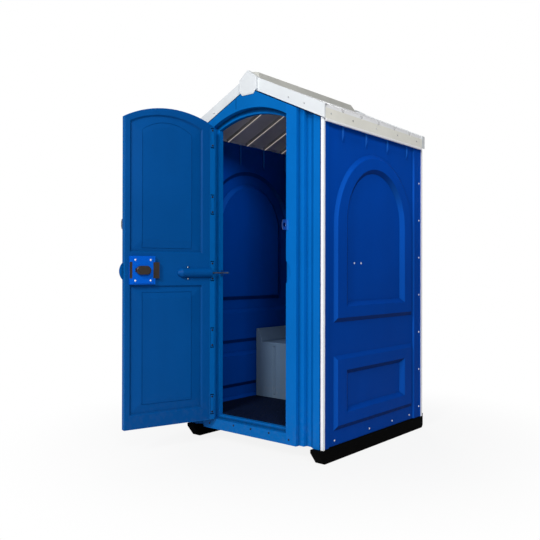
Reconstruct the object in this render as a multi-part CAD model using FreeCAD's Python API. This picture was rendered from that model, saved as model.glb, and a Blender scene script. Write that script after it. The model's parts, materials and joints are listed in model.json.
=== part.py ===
import FreeCAD, Part
import math
import os

V = FreeCAD.Vector
os.makedirs("parts", exist_ok=True)

# Portable toilet cabin, millimetres. X to the right seen from the front, Y to the back, Z up.
# Origin: on the ground, midway between the two skids and midway along the shell.

# Shell
shell_width = 1092.0
shell_depth = 1176.0
sheet = 4.0
front_sheet = 4.0
fit_gap = 0.3
slide_gap = 2.0

# Skids
skid_height = 86.0
skid_width = 67.0
skid_inset = 6.0
skid_nose_overhang = 24.0
skid_nose_rake = 52.0
skid_nose_face = 20.0
skid_tail_overhang = 31.0
skid_tail_lip = 14.0
skid_tail_rake = 12.0
skid_tail_rise = 16.0
skid_lip_top = 8.0
skid_lip_run = 6.0

# Floor and sill
floor_height = 90.0
floor_skin = 5.0
floor_rib = 8.0
sill_height = 64.0
sill_stop_height = 20.0

# Roof, as heights above the shell's foot at the middle of the cabin
roof_slope = 0.4775
roof_crown_height = 2210.0
verge_drop = 83.0
pan_rise = 24.0
pan_skin = 4.5
pan_pitch = 200.0
pan_valley = 16.0
pan_flank = 10.0
pan_phase = -8.0
pan_start = 104.0
eave_overhang = 16.0
verge_overhang = 12.0
verge_flange = 30.0
verge_wrap_front = 0.0
verge_wrap_back = 28.0
trim_skin = 4.0
fascia_height = 74.0
fascia_drop = 22.0
fascia_lip = 14.0
fascia_bead = 3.0

# Ridge
vent_foot_half = 86.0
vent_shoulder_half = 56.0
vent_rise = 21.0
vent_shoulder_rise = 6.0
vent_skin = 3.0
vent_front_gap = 3.0
vent_back_end = 434.0
vent_back_chamfer = 50.0
vent_slot_length = 780.0
vent_slot_middle = -60.0
vent_slot_width = 36.0
vent_slot_inset = 14.0
cap_half = 69.0
cap_foot_half = 45.0
cap_foot_drop = 129.0
cap_chamfer = 28.0
cap_shoulder_drop = 30.0
cap_rise = 21.0
cap_rise_back = 8.0
cap_thickness = 4.0

# Front frame
frame_proud = 28.0
rebate_half = 302.0
rebate_arch_rise = 79.0
rebate_crown_height = 1998.0
opening_half = 276.0
opening_crown_drop = 33.0
opening_arch_radius = 680.0
stop_set_back = 12.0
stop_return = 30.0
header_overlap = 15.0
strip_a_width = 75.0
strip_b_width = 35.0
recess_depth = 23.0
recess_width = 34.0
recess_ramp = 32.0
recess_fall = 6.0
corner_flat = 44.0
step_fall = 2.0
groove_setback = 9.0
corner_groove = 12.0
corner_tab = 18.0
finger_recess_radius = 83.0
finger_recess_reach = 32.0
finger_recess_depth = 16.0
finger_recess_below_rail = 18.0

# Corner strips
strip_leg = 18.0
strip_skin = 3.0

# Wall relief, measured from the flat field of a side wall
relief_height = 14.0
relief_inner_depth = 20.0
bead_height = 10.0
bead_front_width = 62.0
bead_rear_width = 100.0
bead_inset = 10.0
flute_width = 12.0
flute_height = 8.0
flute_run_out = 40.0
flute_pitch = 256.0
flute_phase = 15.0
flute_drop = 160.0
arch_panel_half = 465.0
arch_panel_foot = 708.0
arch_panel_centre = 1266.0
lower_panel_head = 516.0
lower_panel_foot = 86.0
band_outer_bevel = 25.0
band_side = 92.0
band_end = 66.0
band_bevel_side = 38.0
band_bevel_end = 26.0
back_panel_half = 420.0

# Door
door_gap = 4.0
door_thickness = 36.0
door_skin = 4.0
door_open_angle = 107.0
door_foot_gap = 5.0
hinge_count = 5
hinge_foot_margin = 6.5
hinge_axis_gap = 4.0
knuckle_radius = 11.0
knuckle_length = 115.0
door_knuckle_length = 32.0
hinge_leaf_width = 34.0
hinge_leaf_skin = 3.0
hinge_pin_radius = 4.0
hinge_pin_clearance = 0.08
hinge_plate_width = 22.0
hinge_plate_skin = 2.0
hinge_screw_inset = 10.0
hinge_screw_height = 1.2
knuckle_gap = 1.5
hinge_head_gap = 2.0
hinge_head_height = 4.0
hinge_head_rim = 3.0
knuckle_clearance = 1.2
door_panel_border_free = 34.0
door_panel_border_hinge = 88.0
hinge_stile = 36.0
door_panel_top_border = 43.0
door_panel_foot_border = 82.0
door_rail_foot = 916.0
door_rail_head = 1116.0
door_groove_depth = 8.0
door_groove_width = 8.0
door_bevel_width = 68.0
door_field_depth = 1.0
pull_radius = 72.5
pull_reach = 20.0
pull_thickness = 10.0
pull_below_rail = 14.0

# Sliding lock, measured from the door's free edge
lock_below_rail = 8.0
lock_edge = 28.0
lock_base_width = 158.0
lock_base_height = 168.0
lock_base_thickness = 9.0
lock_cover_width = 130.0
lock_cover_height = 156.0
lock_cover_skin = 3.0
bolt_length = 184.0
bolt_height = 96.0
bolt_thickness = 8.5
bolt_travel = 36.0
bolt_gap = 0.5
knob_length = 90.0
knob_height = 52.0
knob_thickness = 18.0
knob_neck_length = 20.0
knob_neck_height = 20.0
link_pin_radius = 4.0
flag_length = 96.0
flag_height = 34.0
flag_thickness = 2.0
window_length = 36.0
window_height = 22.0
bezel_rim = 9.0
keeper_margin = 8.0

# Closer, measured from the hinge axis along the door
closer_mouth = 32.0
closer_length = 230.0
closer_radius = 30.0
closer_skin = 3.0
closer_below_rail = 23.0
closer_offset = 8.0
closer_tube_radius = 7.8
closer_tube_skin = 1.4
closer_tube_set_back = 12.0
closer_rod_radius = 4.0
closer_ball_radius = 6.0
closer_rod_length = 196.0
closer_reach = 121.0
closer_stroke = 119.0
closer_flange_at = 190.0
closer_flange_width = 22.0
closer_flange_reach = 12.0
anchor_gap = 2.4
anchor_thickness = 6.0
anchor_skin = 3.0
anchor_half = 7.5

# Eyes
door_eye_height = 1281.0
frame_eye_height = 1272.0
eye_half = 30.0
eye_rim = 9.0
eye_thickness = 4.0
eye_plate_skin = 2.0
eye_plate_width = 16.0
eye_edge = 3.0
eye_corner_share = 0.6
door_eye_reach = 30.0
frame_eye_reach = 44.0

# Tank, seat and vent pipe
tank_depth = 506.0
tank_clearance = 8.0
tank_skin = 5.0
tank_deck_height = 399.0
tank_wing_height = 494.0
tank_back_wing = 26.0
wing_top_width = 16.0
wing_foot_width = 61.0
tank_flute_width = 30.0
tank_flute_depth = 6.0
tank_flute_pitch = 172.0
tank_flute_flank = 8.0
tank_flute_end = 24.0
seat_set_back = 288.0
seat_half_width = 186.0
seat_half_length = 205.0
seat_hole_half_width = 112.0
seat_hole_half_length = 132.0
seat_thickness = 22.0
lid_thickness = 14.0
lid_gap = 1.5
seat_hinge_setback = 20.0
seat_hinge_radius = 7.0
seat_hinge_spread = 75.0
seat_post_half = 12.0
seat_post_reach = 30.0
seat_barrel_radius = 10.0
seat_post_gap = 1.0
lid_bearing_radial_gap = 0.08
pipe_set_in = 142.0
pipe_set_back = 108.0
pipe_radius = 55.0
pipe_skin = 4.0
pipe_top_height = 2104.0
pipe_collar_radius = 72.0
pipe_collar_height = 14.0
rain_cap_radius = 76.0
rain_cap_height = 34.0
rain_cap_lift = 26.0

# Paper holder on the right wall
holder_y = -201.0
holder_height = 1053.0
holder_length = 132.0
holder_plate_height = 64.0
holder_skin = 3.0
holder_reach = 78.0
spindle_radius = 19.0
roll_radius = 55.0
roll_gap = 0.6
roll_length = 98.0

# Fasteners
rivet_radius = 6.0
rivet_height = 2.5
screw_radius = 5.0
screw_height = 2.5
head_sides = 12
head_rings = ((1.0, 0.0), (0.8, 0.62), (0.42, 1.0))
edge_rivet_pitch = 257.0
edge_rivet_top = 1614.0
edge_rivet_low = 60.0
edge_rivet_count = int((edge_rivet_top - edge_rivet_low) // edge_rivet_pitch) + 1
edge_rivet_inset = 34.0
foot_rivet_height = 30.0
foot_rivet_shares = (-0.774, -0.128, 0.349, 0.741)
sill_rivet_places = (-115.0, 28.0, 173.0)
fascia_screw_shares = (-0.911, -0.529, -0.080, 0.369, 0.816)
verge_screw_places = (306.0, 421.0)

# Values worked out from the driving dimensions
half_width = shell_width / 2
half_depth = shell_depth / 2
foot = skid_height
floor_top = foot + floor_height
wall_base_x = half_width - relief_height
wall_inner_x = wall_base_x - sheet
recess_inner_x = half_width - relief_inner_depth - sheet
back_base_y = half_depth - relief_height
recess_inner_y = half_depth - relief_inner_depth - sheet
frame_front = -half_depth - frame_proud
stop_face = -half_depth + stop_set_back
opening_back = stop_face + stop_return
verge_front = -half_depth - verge_overhang
verge_plate = verge_overhang - strip_skin - fit_gap
verge_back = -half_depth - 2.0
eave_x = half_width + eave_overhang
verge_top = foot + roof_crown_height
pan_top = verge_top - trim_skin
valley_top = pan_top - pan_rise
roof_under = valley_top - pan_skin
verge_foot = verge_top - verge_drop
frame_top = verge_foot - 3.0
rebate_crown = foot + rebate_crown_height
rebate_shoulder = rebate_crown - rebate_arch_rise
header_foot = rebate_shoulder - header_overlap
door_half = rebate_half - door_gap
door_foot = foot + sill_height + door_foot_gap
hinge_x = -door_half - 2.0
hinge_y = frame_front - hinge_axis_gap
door_inner = frame_front + door_thickness
rail_middle = (door_rail_foot + door_rail_head) / 2
lock_height = rail_middle - lock_below_rail
closer_height = rail_middle - closer_below_rail
pull_height = rail_middle - pull_below_rail
finger_recess_height = rail_middle - finger_recess_below_rail
hinge_top = header_foot
hinge_low = door_foot + knuckle_length + door_knuckle_length + knuckle_gap + hinge_foot_margin
hinge_pitch = (hinge_top - hinge_low) / (hinge_count - 1)
tank_half = recess_inner_x - tank_clearance
tank_back = recess_inner_y - tank_clearance
tank_front = tank_back - tank_depth
seat_centre = tank_back - seat_set_back
pipe_x = pipe_set_in - tank_half
pipe_y = tank_back - pipe_set_back


def roof_line(top, x):
    """Height of a roof line that stands at top on the centre line."""
    return top - roof_slope * abs(x)


def box(x0, x1, y0, y1, z0, z1):
    return Part.makeBox(x1 - x0, y1 - y0, z1 - z0, V(x0, y0, z0))


def prism(points, direction):
    """Solid swept from a closed flat outline of points along a vector."""
    return Part.Face(Part.makePolygon(points + [points[0]])).extrude(direction)


def prism_xz(points, y0, y1):
    return prism([V(x, y0, z) for x, z in points], V(0, y1 - y0, 0))


def prism_yz(points, x0, x1):
    return prism([V(x0, y, z) for y, z in points], V(x1 - x0, 0, 0))


def prism_xy(points, z0, z1):
    return prism([V(x, y, z0) for x, y in points], V(0, 0, z1 - z0))


def rod(start, end, radius):
    axis = end.sub(start)
    return Part.makeCylinder(radius, axis.Length, start, axis)


def tube(start, end, radius, bore):
    return rod(start, end, radius).cut(rod(start, end, bore))


def join(shapes):
    """One solid from touching shapes."""
    whole = shapes[0].fuse(shapes[1:]) if len(shapes) > 1 else shapes[0]
    return whole.removeSplitter()


def cut_all(shape, tools):
    for tool in tools:
        shape = shape.cut(tool)
    return shape


def mirror_x(shape):
    return shape.mirror(V(0, 0, 0), V(1, 0, 0))


def mirror_y(shape):
    return shape.mirror(V(0, 0, 0), V(0, 1, 0))


def swing(shape):
    """Turns a piece of the closed door to the open rest position."""
    turned = shape.copy()
    turned.rotate(V(hinge_x, hinge_y, 0), V(0, 0, 1), -door_open_angle)
    return turned


def save(name, shapes):
    """Writes one node. A list becomes a group of separate solids."""
    solids = []
    for shape in shapes if isinstance(shapes, list) else [shapes]:
        solids += shape.Solids
    node = solids[0] if len(solids) == 1 else Part.makeCompound(solids)
    node.exportStep("parts/" + name + ".step")


def sheet_outline(points, thickness):
    """Closed outline of a folded sheet: the outer line and its parallel, thickness to its left."""
    inner = []
    for i, (x, y) in enumerate(points):
        normals = []
        for a, b in ((i - 1, i), (i, i + 1)):
            if a >= 0 and b < len(points):
                dx = points[b][0] - points[a][0]
                dy = points[b][1] - points[a][1]
                length = math.hypot(dx, dy)
                normals.append((-dy / length, dx / length))
        nx = sum(n[0] for n in normals) / len(normals)
        ny = sum(n[1] for n in normals) / len(normals)
        scale = thickness / (nx * nx + ny * ny)
        inner.append((x + nx * scale, y + ny * scale))
    return list(points) + inner[::-1]


# Pressed relief of the walls and the door skins.
# A panel is (middle, half width, foot, shoulder, crown): upright sides from foot to shoulder,
# closed by an arc through the crown, or by a straight head where crown and shoulder are level.


def panel_wire(place, panel, w):
    middle, half, low, shoulder, crown = panel
    corners = [place(middle - half, low, w), place(middle + half, low, w)]
    corners += [place(middle + half, shoulder, w), place(middle - half, shoulder, w)]
    edges = [Part.makeLine(corners[0], corners[1]), Part.makeLine(corners[1], corners[2])]
    if crown - shoulder > 0.5:
        top = place(middle, crown, w)
        edges.append(Part.Arc(corners[2], top, corners[3]).toShape())
    else:
        edges.append(Part.makeLine(corners[2], corners[3]))
    edges.append(Part.makeLine(corners[3], corners[0]))
    return Part.Wire(edges)


def inset(panel, side, end):
    """Smaller panel; a round head stays a half circle and a straight head stays straight."""
    middle, half, low, shoulder, crown = panel
    top = crown - end
    return (middle, half - side, low + end, top if crown == shoulder else top - half + side, top)


def taper(place, panel_a, w_a, panel_b, w_b):
    """Solid between two panel outlines at two depths."""
    wires = [panel_wire(place, panel_a, w_a), panel_wire(place, panel_b, w_b)]
    return Part.makeLoft(wires, True, True)


def carry_on(panel_a, w_a, panel_b, w_b, w):
    """The panel outline of a taper, carried on to depth w."""
    share = (w - w_a) / (w_b - w_a)
    return tuple(a + (b - a) * share for a, b in zip(panel_a, panel_b))


def raised_band(place, panel):
    """Picture-frame band: a raised block with a bevelled field sunk into it."""
    outer = inset(panel, band_outer_bevel, band_outer_bevel)
    inner = inset(outer, band_side, band_end)
    field = inset(inner, band_bevel_side, band_bevel_end)
    block = taper(place, panel, 0.0, outer, relief_height)
    sunk = relief_height - relief_inner_depth
    over = relief_height + 2.0
    mouth = carry_on(field, sunk, inner, relief_height, over)
    return block, taper(place, field, sunk, mouth, over)


def bead(place, u, width, height, v0, v1):
    """Upright ridge with sloping flanks, centred on u."""
    section = [(u - width / 2, -1.0), (u - width / 2 + height, height)]
    section += [(u + width / 2 - height, height), (u + width / 2, -1.0)]
    return prism([place(a, v0, w) for a, w in section], place(0, v1, 0).sub(place(0, v0, 0)))


def edge_flange(place, u_edge, side, v0, v1):
    """Strip along an upright edge that stands out to the face of the relief."""
    inner = u_edge - side * (strip_leg - strip_skin - 2.0)
    toe = inner - side * relief_height
    section = [(u_edge, -1.0), (u_edge, relief_height), (inner, relief_height), (toe, -1.0)]
    return prism([place(a, v0, w) for a, w in section], place(0, v1, 0).sub(place(0, v0, 0)))


def eave_flute(place, u, v_top):
    """Short upright flute under the eave, running out downwards."""
    low = v_top - flute_drop
    high = v_top + 50.0
    ridge = bead(place, u, flute_width + 2 * flute_height, flute_height, low, high)
    section = [(low, -1.0), (low + flute_run_out, flute_height), (high, flute_height), (high, -1.0)]
    points = [place(u - flute_width * 2, v, w) for v, w in section]
    return ridge.common(prism(points, place(flute_width * 4, 0, 0).sub(place(0, 0, 0))))


def wall_block(place, outline, panels, beads, flutes, edges, v_top):
    """Thick block whose outer face carries the whole relief of a wall."""
    depth = place(0, 0, 0).sub(place(0, 0, -40.0))
    block = prism([place(u, v, -40.0) for u, v in outline], depth)
    low, high = outline[0][1], max(v for _, v in outline)
    added = [bead(place, u, width, bead_height, low, high) for u, width in beads]
    added += [eave_flute(place, u, v_top) for u in flutes]
    added += [edge_flange(place, u, side, low, high) for u, side in edges]
    bands = [raised_band(place, panel) for panel in panels]
    added += [band[0] for band in bands]
    block = block.fuse(added)
    return cut_all(block, [band[1] for band in bands])


def pressed_wall(place, outline, panels, beads, flutes, edges, v_top):
    """Wall sheet of even depth: the relief block less the same block moved in by the sheet."""
    solid = wall_block(place, outline, panels, beads, flutes, edges, v_top)
    margin = 60.0
    u_low = min(u for u, _ in outline) - margin
    u_high = max(u for u, _ in outline) + margin
    v_low = outline[0][1] - margin
    v_high = max(v for _, v in outline) + margin
    wide = [(u_low, v_low), (u_high, v_low), (u_high, v_high), (u_low, v_high)]
    wide_edges = [(u + side * margin, side) for u, side in edges]
    hollow = wall_block(place, wide, panels, beads, flutes, [], v_top)
    for u, side in wide_edges:
        inner = u - side * (margin + strip_leg - strip_skin - 2.0)
        toe = inner - side * relief_height
        section = [(u, -1.0), (u, relief_height), (inner, relief_height), (toe, -1.0)]
        run = place(0, v_high, 0).sub(place(0, v_low, 0))
        hollow = hollow.fuse(prism([place(a, v_low, w) for a, w in section], run))
    hollow.translate(place(0, 0, -sheet).sub(place(0, 0, 0)))
    limit = prism([place(u, v, -40.0) for u, v in outline], place(0, 0, 60.0).sub(place(0, 0, -40.0)))
    return solid.cut(hollow).common(limit)


arch_panel = (0.0, arch_panel_half, foot + arch_panel_foot, foot + arch_panel_centre,
              foot + arch_panel_centre + arch_panel_half)
lower_panel = (0.0, arch_panel_half, foot + lower_panel_foot, foot + lower_panel_head,
               foot + lower_panel_head)
side_edge = half_depth - strip_skin - 2.0
side_top = roof_line(roof_under, half_width) - fit_gap


def side_wall():
    """Right side wall; the left one is its mirror image."""
    outline = [(-side_edge, foot), (side_edge, foot), (side_edge, side_top), (-side_edge, side_top)]
    flutes = [flute_phase + flute_pitch * (k - 1.5) for k in range(4)]
    beads = [(bead_inset + bead_front_width / 2 - half_depth, bead_front_width)]
    beads.append((half_depth - bead_inset - bead_rear_width / 2, bead_rear_width))
    return pressed_wall(lambda u, v, w: V(wall_base_x + w, u, v), outline,
                        [arch_panel, lower_panel], beads, flutes,
                        [(-side_edge, -1.0), (side_edge, 1.0)], side_top)


def back_wall():
    edge = half_width - sheet - 2.0
    low_top = roof_line(roof_under, edge) - fit_gap
    peak = roof_under - fit_gap
    outline = [(-edge, foot), (edge, foot), (edge, low_top), (0.0, peak), (-edge, low_top)]
    shrink = arch_panel_half - back_panel_half
    arch = (0.0, back_panel_half, arch_panel[2], arch_panel[3] + shrink, arch_panel[4])
    lower = (0.0, back_panel_half, lower_panel[2], lower_panel[3], lower_panel[4])
    place_x = half_width - bead_inset - bead_front_width / 2
    beads = [(-place_x, bead_front_width), (place_x, bead_front_width)]
    return pressed_wall(lambda u, v, w: V(u, back_base_y + w, v), outline, [arch, lower],
                        beads, [], [(-edge, -1.0), (edge, 1.0)], low_top)


# Front frame: two folded side panels, the arched header and the sill.


def arch_region(half, shoulder, crown, low, y0, y1):
    """Block under an arch that is closed by uprights down to low."""
    points = [V(-half, y0, low), V(half, y0, low), V(half, y0, shoulder), V(-half, y0, shoulder)]
    edges = [Part.makeLine(points[0], points[1]), Part.makeLine(points[1], points[2])]
    edges.append(Part.Arc(points[2], V(0, y0, crown), points[3]).toShape())
    edges.append(Part.makeLine(points[3], points[0]))
    return Part.Face(Part.Wire(edges)).extrude(V(0, y1 - y0, 0))


def arch_drop(radius, half):
    return radius - math.sqrt(radius * radius - half * half)


opening_crown = rebate_crown - opening_crown_drop
opening_shoulder = opening_crown - arch_drop(opening_arch_radius, opening_half)
strip_a_end = rebate_half + strip_a_width
strip_b_end = strip_a_end + strip_b_width
corner_start = half_width - strip_leg + strip_skin
groove_start = corner_start - groove_setback
fold_share = (groove_start - strip_b_end) / (recess_width + recess_ramp + corner_flat)
recess_start = strip_b_end + recess_fall * fold_share
recess_end = strip_b_end + recess_width * fold_share
strip_d_start = recess_end + recess_ramp * fold_share
back_plane = -half_depth
recess_plane = back_plane + recess_depth
groove_plane = back_plane + corner_groove


def slope_band(top, depth, x0, x1, y0, y1):
    """Sheet lying along the right roof slope between x0 and x1."""
    z0 = top - roof_slope * x0
    z1 = top - roof_slope * x1
    return prism_xz([(x0, z0), (x1, z1), (x1, z1 - depth), (x0, z0 - depth)], y0, y1)


def above_line(top, y0, y1):
    """Everything over a roof line, for trimming."""
    reach = shell_width
    high = top + shell_width
    points = [(0.0, top), (reach, roof_line(top, reach)), (reach, high)]
    points += [(-reach, high), (-reach, roof_line(top, reach))]
    return prism_xz(points, y0, y1)


def cap_outline(grow, rise):
    """Outline of the ridge cap, drawn round the centre line."""
    peak = verge_top + rise + grow
    side = cap_half + grow
    shoulder = verge_top - cap_shoulder_drop + grow * 0.5
    low = verge_top - cap_foot_drop - grow
    foot_half = cap_foot_half + grow * 0.5
    right = [(foot_half, low), (side, low + cap_chamfer + grow * 0.5), (side, shoulder), (0.0, peak)]
    left = [(-side, shoulder), (-side, low + cap_chamfer + grow * 0.5), (-foot_half, low)]
    return right + left


def front_panel():
    """Right front panel without its own cuts; the left one starts as its mirror image."""
    line = [(opening_half, opening_back), (opening_half, stop_face), (rebate_half, stop_face)]
    line += [(rebate_half, frame_front), (strip_a_end, frame_front), (strip_a_end + step_fall, back_plane)]
    line += [(strip_b_end, back_plane), (recess_start, recess_plane), (recess_end, recess_plane)]
    line += [(strip_d_start, back_plane), (groove_start, back_plane)]
    line += [(groove_start + step_fall, groove_plane), (corner_start, groove_plane)]
    line += [(corner_start, back_plane), (half_width - sheet - 0.5, back_plane)]
    tall = prism_xy(sheet_outline(line, front_sheet), foot, verge_top)
    over_roof = above_line(roof_under - fit_gap, -half_depth - 100.0, 0.0)
    over_frame = above_line(frame_top, -half_depth - 100.0, back_plane - 0.01)
    over_header = box(0.0, rebate_half, frame_front - 1.0, opening_back + 1.0, header_foot, verge_top)
    tall = cut_all(tall, [over_roof, over_frame, over_header])
    lid = slope_band(frame_top, front_sheet, rebate_half, strip_a_end, frame_front, back_plane + front_sheet)
    backing_top = roof_under - fit_gap
    backing = slope_band(backing_top, backing_top - frame_top + front_sheet, rebate_half,
                         strip_a_end + 4.0, back_plane, back_plane + front_sheet)
    return join([tall, lid, backing])


def finger_recess():
    """Half-round pocket that clears the door's pull: the cut and the pocket's own wall."""
    centre_x = rebate_half + finger_recess_reach - finger_recess_radius
    z = foot + finger_recess_height
    floor_y = frame_front + finger_recess_depth
    hole = rod(V(centre_x, frame_front - 1, z), V(centre_x, floor_y, z), finger_recess_radius)
    wall = rod(V(centre_x, frame_front, z), V(centre_x, floor_y + front_sheet, z),
               finger_recess_radius + front_sheet)
    right_of_rebate = box(rebate_half, rebate_half + 200.0, frame_front, 0.0, foot, verge_top)
    return hole, wall.cut(hole).common(right_of_rebate)


def bolt_slot():
    """Slot in the right return where the sliding bolt goes in."""
    y0 = door_inner + lock_base_thickness
    z = foot + lock_height
    half = bolt_height / 2 + keeper_margin
    return box(opening_half - 1.0, opening_half + front_sheet + 1.0, y0 - 0.5,
               y0 + bolt_thickness + 4.0, z - half, z + half)


def front_panel_right():
    hole, pocket = finger_recess()
    return join([front_panel().cut(hole), pocket]).cut(bolt_slot())


def hinge_heights():
    return [hinge_top - hinge_pitch * k for k in range(hinge_count)]


def hinge_zone(z_pin, radius):
    """Round space along the hinge axis for one hinge."""
    low = z_pin - knuckle_length - door_knuckle_length - 4 * knuckle_gap - 4.0
    return rod(V(hinge_x, hinge_y, low), V(hinge_x, hinge_y, z_pin + 10.0), radius)


def front_panel_left():
    z = foot + closer_height
    half = closer_rod_radius + 3.0
    rod_slot = box(-rebate_half + 8.0, -opening_half + 1.0, stop_face - 1.0, opening_back + 1.0,
                   z - half, z + half)
    zones = [hinge_zone(h, knuckle_radius + knuckle_clearance) for h in hinge_heights()]
    return cut_all(mirror_x(front_panel()), [rod_slot] + zones)


def door_header():
    """Arched head of the doorway, with its rebate, stop and gable face."""
    face_points = [(-rebate_half, header_foot), (rebate_half, header_foot)]
    face_points += [(rebate_half, roof_line(frame_top, rebate_half)), (0.0, frame_top)]
    face_points += [(-rebate_half, roof_line(frame_top, rebate_half))]
    rebate = arch_region(rebate_half, rebate_shoulder, rebate_crown, header_foot, frame_front - 1, stop_face)
    soffit = arch_region(rebate_half, rebate_shoulder + front_sheet, rebate_crown + front_sheet,
                         header_foot, frame_front, stop_face + front_sheet)
    opening = arch_region(opening_half, opening_shoulder, opening_crown, header_foot,
                          frame_front - 1, opening_back + 1)
    lip = arch_region(opening_half + front_sheet, opening_shoulder + front_sheet,
                      opening_crown + front_sheet, header_foot, stop_face, opening_back)
    plate = prism_xz(face_points, frame_front, frame_front + front_sheet)
    top = slope_band(frame_top, front_sheet, 0.0, rebate_half, frame_front, back_plane + front_sheet)
    backing_top = roof_under - fit_gap
    backing = slope_band(backing_top, backing_top - frame_top + front_sheet, 0.0, rebate_half,
                         back_plane, back_plane + front_sheet)
    lower_back = prism_xz([(-rebate_half, rebate_shoulder + 1.0), (rebate_half, rebate_shoulder + 1.0)]
                          + face_points[2:], back_plane, back_plane + front_sheet)
    shell = join([plate, soffit, lip, top, mirror_x(top), backing, mirror_x(backing), lower_back])
    body = cut_all(shell, [rebate, opening])
    cap_space = prism_xz(cap_outline(2.0, cap_rise), frame_front - 1.0, verge_back)
    cap_floor = verge_top - cap_foot_drop - 2.0
    closing = box(-cap_half - 2.0, cap_half + 2.0, frame_front, back_plane + front_sheet,
                  cap_floor - front_sheet, cap_floor)
    body = body.cut(cap_space)
    inside = prism_xz(face_points, frame_front, back_plane + front_sheet)
    return join([body, closing.common(inside)])


def door_sill():
    """Threshold: an apron under the door and a stop that the door closes against."""
    top = foot + sill_height
    stop_top = top + sill_stop_height
    line = [(frame_front, foot), (frame_front, top), (stop_face, top)]
    outline = sheet_outline(line[::-1], front_sheet)
    apron = prism_yz(outline, -rebate_half, rebate_half)
    line = [(stop_face, top - front_sheet), (stop_face, stop_top), (opening_back + 4.0, stop_top)]
    tread = prism_yz(sheet_outline(line[::-1], front_sheet), -opening_half, opening_half)
    return join([apron, tread])


# Base


def skid():
    """Right runner with a raked nose and an upturned tail lip."""
    x1 = half_width - skid_inset
    nose = -half_depth - skid_nose_overhang
    tail = half_depth + skid_tail_overhang
    side = [(nose + skid_nose_rake, 0.0), (tail - skid_tail_rake, 0.0), (tail, skid_tail_rise)]
    side += [(tail, foot + skid_tail_lip), (tail - skid_lip_top, foot + skid_tail_lip)]
    side += [(tail - skid_lip_top - skid_lip_run, foot)]
    side += [(nose, foot), (nose, foot - skid_nose_face)]
    return prism_yz(side, x1 - skid_width, x1)


def floor_pan():
    """Moulded floor: a deck on a skirt, with ribs under it."""
    x1 = wall_inner_x - 0.5
    y0 = opening_back + 6.0
    y1 = back_base_y - sheet - 0.5
    outer = box(-x1, x1, y0, y1, foot, floor_top)
    inner = box(-x1 + floor_skin, x1 - floor_skin, y0 + floor_skin, y1 - floor_skin, foot - 1,
                floor_top - floor_skin)
    pan = outer.cut(inner)
    ribs = []
    for k in range(1, 4):
        y = y0 + (y1 - y0) * k / 4
        ribs.append(box(-x1 + floor_skin, x1 - floor_skin, y - floor_rib / 2, y + floor_rib / 2, foot,
                        floor_top - floor_skin))
    return join([pan] + ribs)


# Corner strips


def corner_strip(y_sign):
    """White angle over a right-hand corner, between the foot and the roof."""
    x1 = half_width + strip_skin
    y1 = half_depth + strip_skin
    corner = [(x1 - strip_leg, -y1), (x1, -y1), (x1, -y1 + strip_leg)]
    angle = prism_xy(sheet_outline(corner, strip_skin), foot, roof_line(roof_under, x1) - fit_gap)
    return angle if y_sign < 0 else mirror_y(angle)


# Roof


def pan_edges():
    """Start and end of each raised pan along the cabin."""
    centres = [pan_phase + pan_pitch * k for k in range(-2, 3)]
    starts = [-half_depth + 4.0] + [c + pan_valley / 2 for c in centres]
    ends = [c - pan_valley / 2 for c in centres] + [half_depth - 4.0]
    return list(zip(starts, ends))


def roof_block(inner):
    """Block under the roof's upper surface; inner is the lower surface's set-in, or 0."""
    x0 = -20.0 if inner else 0.0
    x1 = eave_x - trim_skin - fit_gap + (20.0 if inner else 0.0)
    y1 = half_depth + (20.0 if inner else 0.0)
    deep = 60.0
    base = slope_band(valley_top, deep, x0, x1, -y1, y1)
    pans = []
    pan_end = eave_x - trim_skin - fit_gap - inner
    for y_start, y_end in pan_edges():
        a, b = y_start + inner, y_end - inner
        section = [(a, -1.0), (a + pan_flank, pan_rise), (b - pan_flank, pan_rise), (b, -1.0)]
        x = pan_start + inner
        start = [V(x, y, roof_line(valley_top, x) + h) for y, h in section]
        pans.append(prism(start, V(pan_end - x, 0, -roof_slope * (pan_end - x))))
    return base.fuse(pans)


def roof_half():
    """Right roof sheet with raised pans, valleys between them and a slot under the ridge vent."""
    hollow = roof_block(pan_skin)
    hollow.translate(V(0, 0, -pan_skin))
    shell = roof_block(0.0).cut(hollow)
    slot = box(vent_slot_inset, vent_slot_inset + vent_slot_width, vent_slot_middle - vent_slot_length / 2,
               vent_slot_middle + vent_slot_length / 2, foot, verge_top)
    keep = box(0.0, eave_x, -half_depth, half_depth, foot, verge_top + 50.0)
    return shell.common(keep).cut(slot)


def pipe_hole(radius):
    return rod(V(pipe_x, pipe_y, foot), V(pipe_x, pipe_y, verge_top), radius)


def ridge_vent():
    """Ventilated ridge cover standing on the valleys of both slopes."""
    y0 = -half_depth + vent_front_gap
    foot_z = roof_line(valley_top, vent_foot_half) + 0.2
    shoulder_z = verge_top + vent_shoulder_rise
    peak_z = verge_top + vent_rise - vent_skin
    outer = [(-vent_foot_half, foot_z), (-vent_shoulder_half, shoulder_z), (0.0, peak_z)]
    outer += [(vent_shoulder_half, shoulder_z), (vent_foot_half, foot_z)]
    foot_half = vent_foot_half - vent_skin
    shoulder_half = vent_shoulder_half - vent_skin
    hollow = [(-foot_half, foot_z - 1), (-shoulder_half, shoulder_z - vent_skin), (0.0, peak_z - vent_skin)]
    hollow += [(shoulder_half, shoulder_z - vent_skin), (foot_half, foot_z - 1)]
    above = above_line(valley_top + 0.2, y0 - 10, vent_back_end + 60)
    body = prism_xz(outer, y0, vent_back_end + vent_back_chamfer)
    body = body.common(above)
    inside = prism_xz(hollow, y0 + vent_skin, vent_back_end)
    wedge = prism_yz([(vent_back_end, verge_top + 100), (vent_back_end, peak_z + 0.5),
                      (vent_back_end + vent_back_chamfer, shoulder_z - vent_back_chamfer),
                      (vent_back_end + vent_back_chamfer + 1, verge_top + 100)], -200, 200)
    return body.cut(inside).cut(wedge)


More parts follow.
